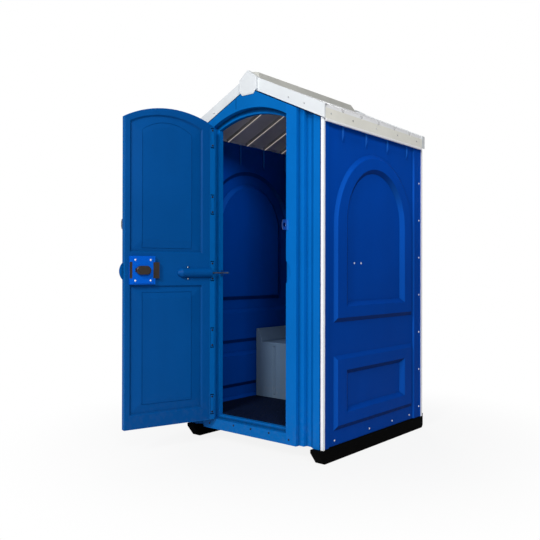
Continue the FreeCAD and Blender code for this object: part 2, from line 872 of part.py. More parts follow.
def eave_fascia():
    """Right eave trim with a hooked foot and a bead along it."""
    x1 = eave_x
    z1 = roof_line(verge_top, eave_x) - fascia_drop
    z0 = z1 - fascia_height
    line = [(x1, z1), (x1, z0 + fascia_lip), (x1 + fascia_bead, z0 + fascia_lip - fascia_bead)]
    line += [(x1 + fascia_bead, z0), (x1 - 10.0, z0)]
    outline = sheet_outline(line[::-1], trim_skin)
    return prism_xz(outline, -half_depth + verge_wrap_front + fit_gap, half_depth - verge_wrap_back - fit_gap)


def front_verge(wrap):
    """Right half of a front verge: a face plate, a flange over the pans and a wrap at the eave."""
    plate = slope_band(verge_top, verge_drop, 0.0, eave_x, verge_front, verge_front + verge_plate)
    flange = slope_band(verge_top, trim_skin, 0.0, eave_x, verge_front, verge_front + verge_flange)
    end = box(eave_x - trim_skin, eave_x, verge_front, -half_depth + wrap, roof_line(verge_foot, eave_x),
              roof_line(verge_top, eave_x))
    cover = join([plate, flange, end])
    ridge_space = box(-1.0, vent_foot_half + 1.0, verge_front + verge_plate, 0.0, foot, verge_top + 10.0)
    return cover.cut(ridge_space)


def ridge_cap(rise):
    """House-shaped cap over the joint of the two verges, with a hood over the ridge."""
    y0 = verge_front - trim_skin - 13.0
    plate = prism_xz(cap_outline(0.0, rise), y0, y0 + cap_thickness)
    shell = prism_xz(cap_outline(0.0, rise), y0, verge_front)
    shell = shell.cut(prism_xz(cap_outline(-3.0, rise), y0 - 1, verge_front + 1))
    hood = prism_xz(cap_outline(0.0, rise), verge_front - 1, -half_depth + 0.5)
    hood = hood.cut(prism_xz(cap_outline(-3.0, rise), verge_front - 2, -half_depth + 1))
    over = above_line(verge_top + 0.3, verge_front - 2, -half_depth + 1)
    hood = hood.common(over)
    front = join([plate, shell])
    return join([front, hood])


# Door


def door_solid(half, low, crown, shoulder, y0, y1):
    return arch_region(half, shoulder, crown, low, y0, y1)


door_crown = rebate_crown - door_gap - 3.0
door_shoulder = rebate_shoulder - door_gap - 1.0
panel_middle = (door_panel_border_hinge - door_panel_border_free) / 2
panel_half = door_half - (door_panel_border_hinge + door_panel_border_free) / 2
rail_foot = foot + door_rail_foot
rail_head = foot + door_rail_head
upper_door_panel = (panel_middle, panel_half, rail_head, door_shoulder - door_panel_top_border + 20.0,
                    door_crown - door_panel_top_border)
lower_door_panel = (panel_middle, panel_half, door_foot + door_panel_foot_border, rail_foot, rail_foot)


def shrink(panel, by):
    """Inset of a door panel, with the arched head moved down as much as the sides move in."""
    middle, half, low, shoulder, crown = panel
    return (middle, half - by, low + by, shoulder - by, crown - by)


def field_block(place, panel):
    """Raised-and-fielded panel: the groove that is cut and the bevelled field put back."""
    groove = shrink(panel, door_groove_width)
    field = shrink(panel, door_groove_width + door_bevel_width)
    mouth = carry_on(groove, -door_groove_depth, panel, 0.0, 2.0)
    cut = taper(place, groove, -door_groove_depth, mouth, 2.0)
    raised = taper(place, groove, -door_groove_depth, field, -door_field_depth)
    return cut, raised


def fielded_face(place, panels, deep):
    """Block under a fielded door face, deep enough to be made into a sheet."""
    left, right = -door_half - 50.0, door_half + 50.0
    low, high = door_foot - 50.0, door_crown + 50.0
    corners = [place(u, v, -deep) for u, v in ((left, low), (right, low), (right, high), (left, high))]
    block = prism(corners, place(0, 0, 0).sub(place(0, 0, -deep)))
    for panel in panels:
        cut, raised = field_block(place, panel)
        block = block.cut(cut).fuse(raised)
    return block


def fielded_sheet(place, outline):
    """Door skin of even depth with the two fielded panels, trimmed to an outline solid."""
    panels = [upper_door_panel, lower_door_panel]
    block = fielded_face(place, panels, 30.0)
    hollow = fielded_face(place, panels, 40.0)
    hollow.translate(place(0, 0, -door_skin).sub(place(0, 0, 0)))
    return block.cut(hollow).common(outline)


lock_x = door_half - lock_edge - lock_base_width / 2
lock_z = foot + lock_height
flag_y = frame_front + door_skin + 0.6
bolt_y = door_inner + lock_base_thickness + bolt_gap


def link_slot(y0, y1, extra):
    """Level slot that the link pin of the bolt travels in."""
    half = link_pin_radius + extra
    return box(lock_x - half, lock_x + bolt_travel + half, y0, y1, lock_z - half, lock_z + half)


def hinge_clearance():
    return [hinge_zone(h, knuckle_radius + knuckle_clearance) for h in hinge_heights()]


def door_outer_skin():
    """Outer door shell: fielded face, rim all round, half-round pull and indicator window."""
    body = door_solid(door_half, door_foot, door_crown, door_shoulder, frame_front, door_inner)
    core = door_solid(door_half - door_skin, door_foot + door_skin, door_crown - door_skin,
                      door_shoulder - door_skin, frame_front - 1, door_inner + 1)
    rim = body.cut(core)
    face = fielded_sheet(lambda u, v, w: V(u, frame_front - w, v), body)
    centre_x = door_half + pull_reach - pull_radius
    z = foot + pull_height
    pull = rod(V(centre_x, frame_front, z), V(centre_x, frame_front + pull_thickness, z), pull_radius)
    pull = pull.common(box(door_half - door_skin, door_half + 100, frame_front, door_inner, 0, verge_top))
    window = box(lock_x - window_length / 2, lock_x + window_length / 2, frame_front - 1,
                 frame_front + door_skin + 1, lock_z - window_height / 2, lock_z + window_height / 2)
    stile = box(-door_half, -door_half + hinge_stile, door_inner - door_skin, door_inner, door_foot,
                door_shoulder - door_skin)
    return cut_all(join([rim, face, pull, stile]), [window] + hinge_clearance())


def door_inner_skin():
    """Inner door face, let into the rim of the outer shell."""
    gap = door_skin + fit_gap
    body = door_solid(door_half - gap, door_foot + gap, door_crown - gap, door_shoulder - gap,
                      frame_front + door_skin, door_inner)
    body = body.cut(box(-door_half - 1, -door_half + hinge_stile + fit_gap, frame_front, door_inner + 1, foot,
                        door_shoulder - door_skin + fit_gap))
    face = fielded_sheet(lambda u, v, w: V(u, door_inner + w, v), body)
    return face.cut(link_slot(frame_front, door_inner + 1, 1.5))


def hinge_parts():
    """Frame knuckles, door knuckles and pins of every hinge."""
    frame, door, pins = [], [], []
    bore = hinge_pin_radius + hinge_pin_clearance
    leaf_out = frame_front - hinge_leaf_skin
    for z_pin in hinge_heights():
        z1 = z_pin - hinge_head_gap
        z0 = z1 - knuckle_length
        barrel = rod(V(hinge_x, hinge_y, z0), V(hinge_x, hinge_y, z1), knuckle_radius)
        leaf = box(hinge_x - hinge_leaf_width, hinge_x, leaf_out, frame_front, z0, z1)
        hole = rod(V(hinge_x, hinge_y, z0 - 1), V(hinge_x, hinge_y, z1 + 1), bore)
        frame.append(join([barrel, leaf]).cut(hole))
        d1 = z0 - knuckle_gap
        d0 = d1 - door_knuckle_length
        barrel = rod(V(hinge_x, hinge_y, d0), V(hinge_x, hinge_y, d1), knuckle_radius)
        leaf = box(hinge_x, hinge_x + hinge_leaf_width, leaf_out, frame_front, d0, d1)
        hole = rod(V(hinge_x, hinge_y, d0 - 1), V(hinge_x, hinge_y, d1 + 1), bore)
        door.append(join([barrel, leaf]).cut(hole))
        head_top = V(hinge_x, hinge_y, z1 + hinge_head_height)
        head = rod(V(hinge_x, hinge_y, z1), head_top, hinge_pin_radius + hinge_head_rim)
        shank = rod(V(hinge_x, hinge_y, d0 - 2.0), V(hinge_x, hinge_y, z1), hinge_pin_radius)
        pins.append(join([head, shank]))
    return frame, door, pins


def hinge_plates():
    """Backing plates of the hinges on the inner face of the door."""
    x0 = -door_half + (hinge_stile - hinge_plate_width) / 2
    return [box(x0, x0 + hinge_plate_width, door_inner, door_inner + hinge_plate_skin,
                z - knuckle_length - hinge_head_gap, z - hinge_head_gap) for z in hinge_heights()]


def hinge_screws():
    """Two screws through each backing plate."""
    x = -door_half + hinge_stile / 2
    y = door_inner + hinge_plate_skin
    screws = []
    for z_pin in hinge_heights():
        high = z_pin - hinge_head_gap
        for z in (high - hinge_screw_inset, high - knuckle_length + hinge_screw_inset):
            screws.append(dome(V(x, y, z), V(0, 1, 0), screw_radius, hinge_screw_height))
    return screws


# Sliding lock and indicator


def lock_base():
    """Base plate with an upper and a lower rail that guide the bolt."""
    x0, x1 = lock_x - lock_base_width / 2, lock_x + lock_base_width / 2
    z0, z1 = lock_z - lock_base_height / 2, lock_z + lock_base_height / 2
    y1 = door_inner + lock_base_thickness
    rail_top = y1 + bolt_thickness + 2 * bolt_gap
    plate = box(x0, x1, door_inner, y1, z0, z1)
    channel = bolt_height / 2 + bolt_gap
    lower = box(x0, x1, y1, rail_top, z0, lock_z - channel)
    upper = box(x0, x1, y1, rail_top, lock_z + channel, z1)
    return join([plate, lower, upper]).cut(link_slot(door_inner - 1, y1 + 1, 1.5))


def lock_cover():
    y0 = door_inner + lock_base_thickness + bolt_thickness + 2 * bolt_gap
    half = lock_cover_width / 2
    tall = lock_cover_height / 2
    plate = box(lock_x - half, lock_x + half, y0, y0 + lock_cover_skin, lock_z - tall, lock_z + tall)
    neck = knob_neck_length / 2 + slide_gap
    slot = box(lock_x - neck, min(lock_x + neck + bolt_travel, lock_x + half - 4.0), y0 - 1,
               y0 + lock_cover_skin + 1, lock_z - knob_neck_height / 2 - slide_gap,
               lock_z + knob_neck_height / 2 + slide_gap)
    return plate.cut(slot), y0 + lock_cover_skin


def lock_rivets(y):
    spots = []
    for sx in (-1, 1):
        for sz in (-1, 1):
            x = lock_x + sx * (lock_cover_width / 2 - 17.0)
            z = lock_z + sz * (lock_cover_height / 2 - 17.0)
            spots.append(dome(V(x, y, z), V(0, 1, 0), rivet_radius, rivet_height))
    return spots


def dome(base, axis, radius, height):
    """Round-headed fastener: a low dome of flat facets that stands on a face."""
    direction = V(axis).normalize()
    across = V(0, 0, 1)
    side = direction.cross(across)
    rings = []
    for reach, rise in head_rings:
        corners = []
        for k in range(head_sides):
            angle = 2 * math.pi * k / head_sides
            out = across * (math.cos(angle) * radius * reach) + side * (math.sin(angle) * radius * reach)
            corners.append(base + direction * (height * rise) + out)
        rings.append(Part.makePolygon(corners + [corners[0]]))
    return Part.makeLoft(rings, True, True)


def lock_bolt():
    """Flat bolt with the link pin that carries the indicator flag."""
    x0 = lock_x - lock_base_width / 2 - (bolt_length - lock_base_width)
    plate = box(x0, x0 + bolt_length, bolt_y, bolt_y + bolt_thickness, lock_z - bolt_height / 2,
                lock_z + bolt_height / 2)
    pin = rod(V(lock_x, flag_y + flag_thickness, lock_z), V(lock_x, bolt_y, lock_z), link_pin_radius)
    return join([plate, pin])


def lock_knob(cover_top):
    """Oval finger grip on a neck through the cover."""
    y0 = cover_top + slide_gap
    neck = box(lock_x - knob_neck_length / 2, lock_x + knob_neck_length / 2, bolt_y + bolt_thickness,
               y0, lock_z - knob_neck_height / 2, lock_z + knob_neck_height / 2)
    end = knob_length / 2 - knob_height / 2
    y1 = y0 + knob_thickness
    ends = [rod(V(lock_x + s * end, y0, lock_z), V(lock_x + s * end, y1, lock_z), knob_height / 2)
            for s in (-1, 1)]
    middle = box(lock_x - end, lock_x + end, y0, y1, lock_z - knob_height / 2, lock_z + knob_height / 2)
    grip = join(ends + [middle])
    rounded = grip.makeFillet(5.0, [e for e in grip.Edges if e.CenterOfMass.y > y1 - 0.1])
    return join([neck, rounded])


def indicator_flag():
    """Two-field plate behind the window, moved by the bolt."""
    return box(lock_x - flag_length / 2 - bolt_travel / 2, lock_x + flag_length / 2 - bolt_travel / 2,
               flag_y, flag_y + flag_thickness, lock_z - flag_height / 2, lock_z + flag_height / 2)


def indicator_bezel():
    """Frame round the window on the outside of the door."""
    half_x, half_z = window_length / 2, window_height / 2
    outer = box(lock_x - half_x - bezel_rim, lock_x + half_x + bezel_rim, frame_front - 4.0,
                frame_front, lock_z - half_z - bezel_rim, lock_z + half_z + bezel_rim)
    hole = box(lock_x - half_x, lock_x + half_x, frame_front - 5.0, frame_front + 1, lock_z - half_z,
               lock_z + half_z)
    return outer.cut(hole)


# Door closer

closer_z = foot + closer_height
closer_axis_y = door_inner + closer_offset
closer_x0 = hinge_x + closer_mouth
closer_x1 = closer_x0 + closer_length


def closer_housing():
    """Half-round cover over the closer tube, with a screw flange and a rounded far end."""
    start = V(closer_x0, door_inner, closer_z)
    end = V(closer_x1 - 28.0, door_inner, closer_z)
    body = rod(start, end, closer_radius)
    nose = Part.makeCone(closer_radius, closer_radius * 0.45, 28.0, end, V(1, 0, 0))
    hollow = rod(start + V(closer_skin, 0, 0), end, closer_radius - closer_skin)
    flange_x = hinge_x + closer_flange_at
    flange = box(flange_x - closer_flange_width / 2, flange_x + closer_flange_width / 2, door_inner,
                 door_inner + closer_skin, closer_z - closer_radius - closer_flange_reach,
                 closer_z + closer_radius + closer_flange_reach)
    shell = join([body, nose, flange]).cut(hollow)
    shell = shell.common(box(closer_x0, closer_x1, door_inner, door_inner + 100, 0, verge_top))
    mouth = rod(V(closer_x0 - 1, closer_axis_y, closer_z),
                V(closer_x0 + closer_skin + 1, closer_axis_y, closer_z), closer_ball_radius + 1.0)
    return shell.cut(mouth)


def closer_tube():
    """Damper tube that guides the piston, with an end plug."""
    start = V(closer_x0 + closer_tube_set_back, closer_axis_y, closer_z)
    end = V(closer_x1 - 30.0, closer_axis_y, closer_z)
    plug = start + V(6.0, 0, 0)
    wall = tube(plug, end, closer_tube_radius, closer_tube_radius - closer_tube_skin)
    gland = tube(start, plug, closer_tube_radius, closer_rod_radius + 0.1)
    stop = rod(end - V(3.0, 0, 0), end, closer_tube_radius - closer_tube_skin)
    return join([wall, gland, stop])


def closer_rod():
    """Piston rod with a piston inside the tube and a ball end outside."""
    tip_x = closer_x0 - closer_reach
    tip = V(tip_x, closer_axis_y, closer_z)
    inner = V(tip_x + closer_rod_length, closer_axis_y, closer_z)
    shaft = rod(tip, inner, closer_rod_radius)
    piston = rod(inner - V(8.0, 0, 0), inner, closer_tube_radius - closer_tube_skin - 0.1)
    ball = Part.makeSphere(closer_ball_radius, tip + V(closer_ball_radius, 0, 0))
    return join([shaft, piston, ball])


def turned(x, y):
    """A point of the closed door, in its open rest place."""
    angle = math.radians(-door_open_angle)
    dx, dy = x - hinge_x, y - hinge_y
    return (hinge_x + dx * math.cos(angle) - dy * math.sin(angle),
            hinge_y + dx * math.sin(angle) + dy * math.cos(angle))


def closer_anchor():
    """Arm on the left return whose end pad faces the rod end when the door stands open."""
    tip_x, tip_y = turned(closer_x0 - closer_reach, closer_axis_y)
    y0 = max(tip_y + anchor_gap + closer_rod_radius * 0.3, door_inner + closer_radius + 4.0)
    y1 = y0 + anchor_thickness
    plate = box(-opening_half, -opening_half + anchor_skin, opening_back - 22.0, y1,
                closer_z - anchor_half - 10.0, closer_z + anchor_half + 10.0)
    rod_way = box(-opening_half - 1.0, -opening_half + anchor_skin + 1.0, stop_face, opening_back,
                  closer_z - anchor_half, closer_z + anchor_half)
    arm = box(-opening_half, tip_x + closer_rod_radius, y0, y1, closer_z - anchor_half,
              closer_z + anchor_half)
    return join([plate.cut(rod_way), arm])


def closer_screws():
    """Two screws of the housing flange."""
    x = hinge_x + closer_flange_at
    reach = closer_radius + closer_flange_reach / 2
    return [dome(V(x, door_inner + closer_skin, closer_z + s * reach), V(0, 1, 0), screw_radius, screw_height)
            for s in (-1, 1)]


# Padlock eyes on the door's outer face and on the front beside it


def padlock_eye(edge, side, height, reach):
    """Upright ring at the edge of a small plate; the plate runs to the given side of it."""
    z = foot + height
    y1 = frame_front - eye_plate_skin
    y0 = frame_front - reach
    far = edge + side * eye_plate_width
    x = edge + side * eye_thickness / 2
    plate = box(min(edge, far), max(edge, far), y1, frame_front, z - eye_half, z + eye_half)
    corner = eye_half * eye_corner_share
    face = [(y1, z - eye_half), (y1, z + eye_half), (y0 + corner / 2, z + eye_half)]
    face += [(y0, z + eye_half - corner), (y0, z - eye_half + corner), (y0 + corner / 2, z - eye_half)]
    ring = prism_yz(face, x - eye_thickness / 2, x + eye_thickness / 2)
    middle = (y0 + y1) / 2
    hole = rod(V(x - eye_thickness, middle, z), V(x + eye_thickness, middle, z), (y1 - y0) / 2 - eye_rim)
    return join([plate, ring]).cut(hole)


def door_eye():
    return padlock_eye(door_half - eye_edge, -1.0, door_eye_height, door_eye_reach)


def frame_eye():
    return padlock_eye(rebate_half + eye_edge, 1.0, frame_eye_height, frame_eye_reach)


# Tank, seat, lid and vent pipe


def ellipse_block(half_x, half_y, z0, z1):
    curve = Part.Ellipse(V(0, seat_centre + half_y, z0), V(half_x, seat_centre, z0), V(0, seat_centre, z0))
    return Part.Face(Part.Wire(curve.toShape())).extrude(V(0, 0, z1 - z0))


deck_z = foot + floor_height + tank_deck_height
wing_z = foot + floor_height + tank_wing_height


def waste_tank():
    """Hollow tank with a seat deck between raised side and back wings."""
    body = box(-tank_half, tank_half, tank_front, tank_back, floor_top, wing_z)
    bowl = [(-tank_half + wing_top_width, wing_z + 1.0), (-tank_half + wing_foot_width, deck_z)]
    bowl += [(tank_half - wing_foot_width, deck_z), (tank_half - wing_top_width, wing_z + 1.0)]
    body = body.cut(prism_xz(bowl, tank_front - 1.0, tank_back - tank_back_wing))
    inner = box(-tank_half + tank_skin, tank_half - tank_skin, tank_front + tank_flute_depth + tank_skin,
                tank_back - tank_skin, floor_top + tank_skin, deck_z - tank_skin)
    body = body.cut(inner)
    hole = ellipse_block(seat_hole_half_width + 8.0, seat_hole_half_length + 8.0, deck_z - 20.0, deck_z + 1.0)
    vent = rod(V(pipe_x, pipe_y, deck_z - 20.0), V(pipe_x, pipe_y, deck_z + 1.0), pipe_radius - pipe_skin)
    flutes = []
    for k in range(-2, 3):
        x = k * tank_flute_pitch
        half = tank_flute_width / 2
        floor_half = half - tank_flute_flank
        floor_y = tank_front + tank_flute_depth
        section = [(x - half, tank_front - 1.0), (x - floor_half, floor_y)]
        section += [(x + floor_half, floor_y), (x + half, tank_front - 1.0)]
        flutes.append(prism_xy(section, floor_top + tank_flute_end, deck_z - tank_flute_end))
    return cut_all(body, [hole, vent] + flutes)


seat_top = deck_z + seat_thickness
lid_z = seat_top + lid_gap
lid_axis_y = seat_centre + seat_half_length + seat_hinge_setback
lid_axis_z = lid_z + lid_thickness / 2


def seat_ring():
    """Seat ring screwed to the deck, with two hinge posts and their pin bores."""
    ring = ellipse_block(seat_half_width, seat_half_length, deck_z, seat_top)
    ring = ring.cut(ellipse_block(seat_hole_half_width, seat_hole_half_length, deck_z - 1, seat_top + 1))
    posts = []
    for s in (-1, 1):
        x0 = s * seat_hinge_spread - seat_post_half
        x1 = s * seat_hinge_spread + seat_post_half
        base = box(x0, x1, seat_centre + seat_half_length - seat_post_reach, lid_axis_y + seat_barrel_radius,
                   deck_z, lid_axis_z)
        eye = rod(V(x0, lid_axis_y, lid_axis_z), V(x1, lid_axis_y, lid_axis_z), seat_barrel_radius)
        posts.append(join([base, eye]))
    ring = join([ring] + posts)
    ring = ring.cut(ellipse_block(seat_hole_half_width, seat_hole_half_length, deck_z - 1, seat_top + 1))
    bore = rod(V(-200, lid_axis_y, lid_axis_z), V(200, lid_axis_y, lid_axis_z), seat_hinge_radius)
    return ring.cut(bore)


def seat_lid():
    """Lid with a hinge barrel between the posts, running on the pins."""
    plate = ellipse_block(seat_half_width - 2.0, seat_half_length - 2.0, lid_z, lid_z + lid_thickness)
    half = seat_hinge_spread - seat_post_half - seat_post_gap
    neck = box(-half, half, seat_centre + seat_half_length - 40.0, lid_axis_y, lid_z, lid_z + lid_thickness)
    barrel = rod(V(-half, lid_axis_y, lid_axis_z), V(half, lid_axis_y, lid_axis_z), seat_barrel_radius)
    bore = rod(V(-half - 1, lid_axis_y, lid_axis_z), V(half + 1, lid_axis_y, lid_axis_z),
               seat_hinge_radius + lid_bearing_radial_gap)
    clear_half = seat_post_half + 2 * seat_post_gap
    clear_front = seat_centre + seat_half_length - seat_post_reach - 4 * seat_post_gap
    clear = [box(s * seat_hinge_spread - clear_half, s * seat_hinge_spread + clear_half, clear_front,
                 lid_axis_y + 2 * seat_barrel_radius, lid_z - 1, lid_z + 2 * lid_thickness + 2)
             for s in (-1, 1)]
    return cut_all(join([plate, neck, barrel]), [bore] + clear)


def seat_hinge_pin():
    reach = seat_hinge_spread + seat_post_half
    return rod(V(-reach, lid_axis_y, lid_axis_z), V(reach, lid_axis_y, lid_axis_z), seat_hinge_radius)


pipe_top = foot + pipe_top_height


def vent_pipe():
    return tube(V(pipe_x, pipe_y, deck_z), V(pipe_x, pipe_y, pipe_top), pipe_radius, pipe_radius - pipe_skin)


def pipe_collar():
    return tube(V(pipe_x, pipe_y, deck_z), V(pipe_x, pipe_y, deck_z + pipe_collar_height),
                pipe_collar_radius, pipe_radius + fit_gap)


def rain_cap():
    """Inverted cup on three lugs over the pipe's end."""
    low = pipe_top - rain_cap_height + rain_cap_lift
    high = pipe_top + rain_cap_lift
    cup = rod(V(pipe_x, pipe_y, low), V(pipe_x, pipe_y, high), rain_cap_radius)
    cup = cup.cut(rod(V(pipe_x, pipe_y, low - 1), V(pipe_x, pipe_y, high - 3.0), rain_cap_radius - 3.0))
    lugs = []
    for k in range(3):
        angle = math.radians(30 + 120 * k)
        lug = box(pipe_radius - pipe_skin, pipe_radius + 3.0, -5.0, 5.0, pipe_top, high - 3.0)
        lug.rotate(V(0, 0, 0), V(0, 0, 1), math.degrees(angle))
        lug.translate(V(pipe_x, pipe_y, 0))
        lugs.append(lug)
    return join([cup] + lugs)


def pipe_flashing():
    """Collar that seals the pipe on the left roof slope."""
    high = roof_line(pan_top, pipe_x) + 40.0
    low = roof_line(valley_top, pipe_x) - 60.0
    ring = tube(V(pipe_x, pipe_y, low), V(pipe_x, pipe_y, high), pipe_radius + 9.0, pipe_radius + fit_gap)
    return max(ring.cut(mirror_x(roof_block(0.0))).Solids, key=lambda solid: solid.BoundBox.ZMax)


# Paper holder

holder_x = recess_inner_x
holder_z = foot + holder_height
roll_x = holder_x - holder_reach + 16.0


def paper_holder():
    """Bracket with two arms."""
    y0, y1 = holder_y - holder_length / 2, holder_y + holder_length / 2
    z0, z1 = holder_z - holder_plate_height / 2, holder_z + holder_plate_height / 2
    plate = box(holder_x - holder_skin, holder_x, y0, y1, z0, z1)
    arms = [box(holder_x - holder_reach, holder_x, y, y + holder_skin, holder_z - 14.0, holder_z + 14.0)
            for y in (y0, y1 - holder_skin)]
    return join([plate] + arms)


def paper_spindle():
    y0, y1 = holder_y - holder_length / 2 + holder_skin, holder_y + holder_length / 2 - holder_skin
    return rod(V(roll_x, y0, holder_z), V(roll_x, y1, holder_z), spindle_radius)


def paper_roll():
    half = roll_length / 2
    return tube(V(roll_x, holder_y - half, holder_z), V(roll_x, holder_y + half, holder_z), roll_radius,
                spindle_radius + roll_gap)


# Fasteners


def wall_rivets():
    """Rivets of both side walls, the sill and the paper holder."""
    rivets = []
    for side in (-1.0, 1.0):
        out = V(side, 0, 0)
        for k in range(edge_rivet_count):
            z = foot + edge_rivet_top - edge_rivet_pitch * k
            y = half_depth - edge_rivet_inset
            face = wall_base_x + bead_height
            rivets.append(dome(V(side * face, y, z), out, rivet_radius, rivet_height))
        for share in foot_rivet_shares:
            spot = V(side * wall_base_x, share * half_depth, foot + foot_rivet_height)
            rivets.append(dome(spot, out, rivet_radius, rivet_height))
    for x in sill_rivet_places:
        rivets.append(dome(V(x, frame_front, foot + 46.0), V(0, -1, 0), rivet_radius, rivet_height))
    for side in (-1.0, 1.0):
        rivets.append(dome(V(side * (rebate_half + 22.0), frame_front, foot + 30.0), V(0, -1, 0),
                           rivet_radius, rivet_height))
    for s in (-1, 1):
        rivets.append(dome(V(half_width - relief_inner_depth, holder_y + s * 37.5, holder_z), V(1, 0, 0),
                           rivet_radius, rivet_height))
    return rivets


def roof_screws():
    """Screws through the eave fascias and the verges."""
    screws = []
    fascia_mid = roof_line(verge_top, eave_x) - 50.0
    for side in (-1.0, 1.0):
        for share in fascia_screw_shares:
            spot = V(side * eave_x, share * half_depth, fascia_mid)
            screws.append(dome(spot, V(side, 0, 0), screw_radius, screw_height))
        for x in verge_screw_places:
            z = roof_line(verge_top, x) - verge_drop * 0.55
            screws.append(dome(V(side * x, verge_front, z), V(0, -1, 0), screw_radius, screw_height))
            screws.append(dome(V(side * x, -verge_front, z), V(0, 1, 0), screw_radius, screw_height))
    return screws


def build_base():
    runner = skid()
    save("skid_right", runner)
    save("skid_left", mirror_x(runner))
    save("floor_pan", floor_pan())


def build_shell():
    wall = side_wall()
    save("side_wall_right", wall)
    save("side_wall_left", mirror_x(wall))
    save("back_wall", back_wall())
    save("front_panel_right", front_panel_right())
    save("front_panel_left", front_panel_left())
    save("door_header", door_header())
    save("door_sill", door_sill())
    for word, sign in (("front", -1), ("back", 1)):
        angle = corner_strip(sign)
        save("corner_strip_" + word + "_right", angle)
        save("corner_strip_" + word + "_left", mirror_x(angle))
    save("wall_rivets", wall_rivets())


def build_roof():
    half = roof_half()
    save("roof_panel_right", half)
    save("roof_panel_left", mirror_x(half).cut(pipe_hole(pipe_radius + 2.0)))
    save("ridge_vent", ridge_vent())
    fascia = eave_fascia()
    save("eave_fascia_right", fascia)
    save("eave_fascia_left", mirror_x(fascia))
    verge = front_verge(verge_wrap_front)
    save("verge_front_right", verge)
    save("verge_front_left", mirror_x(verge))
    verge = mirror_y(front_verge(verge_wrap_back))
    save("verge_back_right", verge)
    save("verge_back_left", mirror_x(verge))
    save("ridge_cap_front", ridge_cap(cap_rise))
    save("ridge_cap_back", mirror_y(ridge_cap(cap_rise_back)))
    save("roof_screws", roof_screws())


def build_door():
    save("door_outer_skin", swing(door_outer_skin()))
    save("door_inner_skin", swing(door_inner_skin()))
    frame, door, pins = hinge_parts()
    save("hinge_frame_knuckles", frame)
    save("hinge_door_knuckles", [swing(knuckle) for knuckle in door])
    save("hinge_pins", pins)
    save("hinge_backing_plates", [swing(plate) for plate in hinge_plates()])
    save("hinge_screws", [swing(screw) for screw in hinge_screws()])
    cover, cover_top = lock_cover()
    save("lock_base", swing(lock_base()))
    save("lock_cover", swing(cover))
    save("lock_rivets", [swing(rivet) for rivet in lock_rivets(cover_top)])
    save("lock_bolt", swing(lock_bolt()))
    save("lock_knob", swing(lock_knob(cover_top)))
    save("indicator_flag", swing(indicator_flag()))
    save("indicator_bezel", swing(indicator_bezel()))
    save("closer_housing", swing(closer_housing()))
    save("closer_tube", swing(closer_tube()))
    save("closer_rod", swing(closer_rod()))
    save("closer_screws", [swing(screw) for screw in closer_screws()])
    save("closer_anchor", closer_anchor())
    save("door_eye", swing(door_eye()))
    save("frame_eye", frame_eye())


def build_fittings():
    save("waste_tank", waste_tank())
    save("seat_ring", seat_ring())
    save("seat_lid", seat_lid())
    save("seat_hinge_pin", seat_hinge_pin())
    save("vent_pipe", vent_pipe())
    save("pipe_collar", pipe_collar())
    save("rain_cap", rain_cap())
    save("pipe_flashing", pipe_flashing())
    save("paper_holder", paper_holder())
    save("paper_spindle", paper_spindle())
    save("paper_roll", paper_roll())


build_base()
build_shell()
build_roof()
build_door()
build_fittings()
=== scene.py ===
"""Dresses the portable toilet cabin for its pictures, in metres and in the part's own frame."""
import json
import logging
import math
from dataclasses import dataclass
from enum import Enum
from functools import cache, cached_property
from typing import Callable, Iterable, Union

import bmesh
import bpy
from mathutils import Matrix, Vector


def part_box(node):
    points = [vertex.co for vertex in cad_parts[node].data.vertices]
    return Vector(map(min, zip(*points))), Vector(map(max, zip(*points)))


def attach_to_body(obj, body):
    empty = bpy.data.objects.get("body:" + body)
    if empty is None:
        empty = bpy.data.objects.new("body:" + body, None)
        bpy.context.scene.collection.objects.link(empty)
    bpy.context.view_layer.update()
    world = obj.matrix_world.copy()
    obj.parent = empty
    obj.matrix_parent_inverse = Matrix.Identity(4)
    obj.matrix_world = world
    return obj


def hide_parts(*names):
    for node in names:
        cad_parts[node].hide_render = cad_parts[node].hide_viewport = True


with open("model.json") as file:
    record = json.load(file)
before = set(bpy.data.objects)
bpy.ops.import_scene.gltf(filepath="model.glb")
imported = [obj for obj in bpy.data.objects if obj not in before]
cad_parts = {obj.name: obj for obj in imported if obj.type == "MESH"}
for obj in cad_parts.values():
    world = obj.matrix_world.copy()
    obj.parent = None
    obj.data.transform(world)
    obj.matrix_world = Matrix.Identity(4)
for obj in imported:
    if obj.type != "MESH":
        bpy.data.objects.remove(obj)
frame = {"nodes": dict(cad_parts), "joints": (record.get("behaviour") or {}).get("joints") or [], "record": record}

log = logging.getLogger("cabin")

Colour = tuple[float, float, float]
Point = tuple[float, float, float]
Range = tuple[float, float]
Socket = bpy.types.NodeSocket
Piece = bpy.types.Object
Mesh = bpy.types.Mesh
Operand = Union["Value", float]
Input = Union["Value", float, str, tuple, Socket]
Inputs = dict[Union[str, int], Input]

FULL_TURN = 2 * math.pi
UPRIGHT = (0, 0, 1)
MERGE = 0.00001
SAME_WAY = 0.9999
SMOOTH_UNDER = math.radians(35)
BEAD_SMOOTH_UNDER = math.radians(50)
ROUND_OVER = math.radians(28)
ROUND_STEPS = 2
BEAD_STEPS = 3
HEX_SIDES = 6
GROOVE_SAMPLES = 6
OPEN_TO_SHUT = (0.97, 0.55)
NO_COLOUR = (0.0, 0.0, 0.0)
FULL_WHITE = (1.0, 1.0, 1.0)

ROOF_SLOPE = 0.4775
JOINTS = {joint["name"]: joint for joint in frame["joints"]}
HINGE = Vector(JOINTS["door_hinge"]["pos_m"])
ACROSS = Vector(JOINTS["lock_slide"]["axis"])
INWARD = Vector((-ACROSS.y, ACROSS.x, 0.0))


class Body(Enum):
    """Bodies that carry the added pieces."""

    CABIN = "cabin"
    DOOR = "door"


class Head(Enum):
    """Kinds of fastener head."""

    RIVET = "rivet"
    CROSS = "cross"
    HEX = "hex"


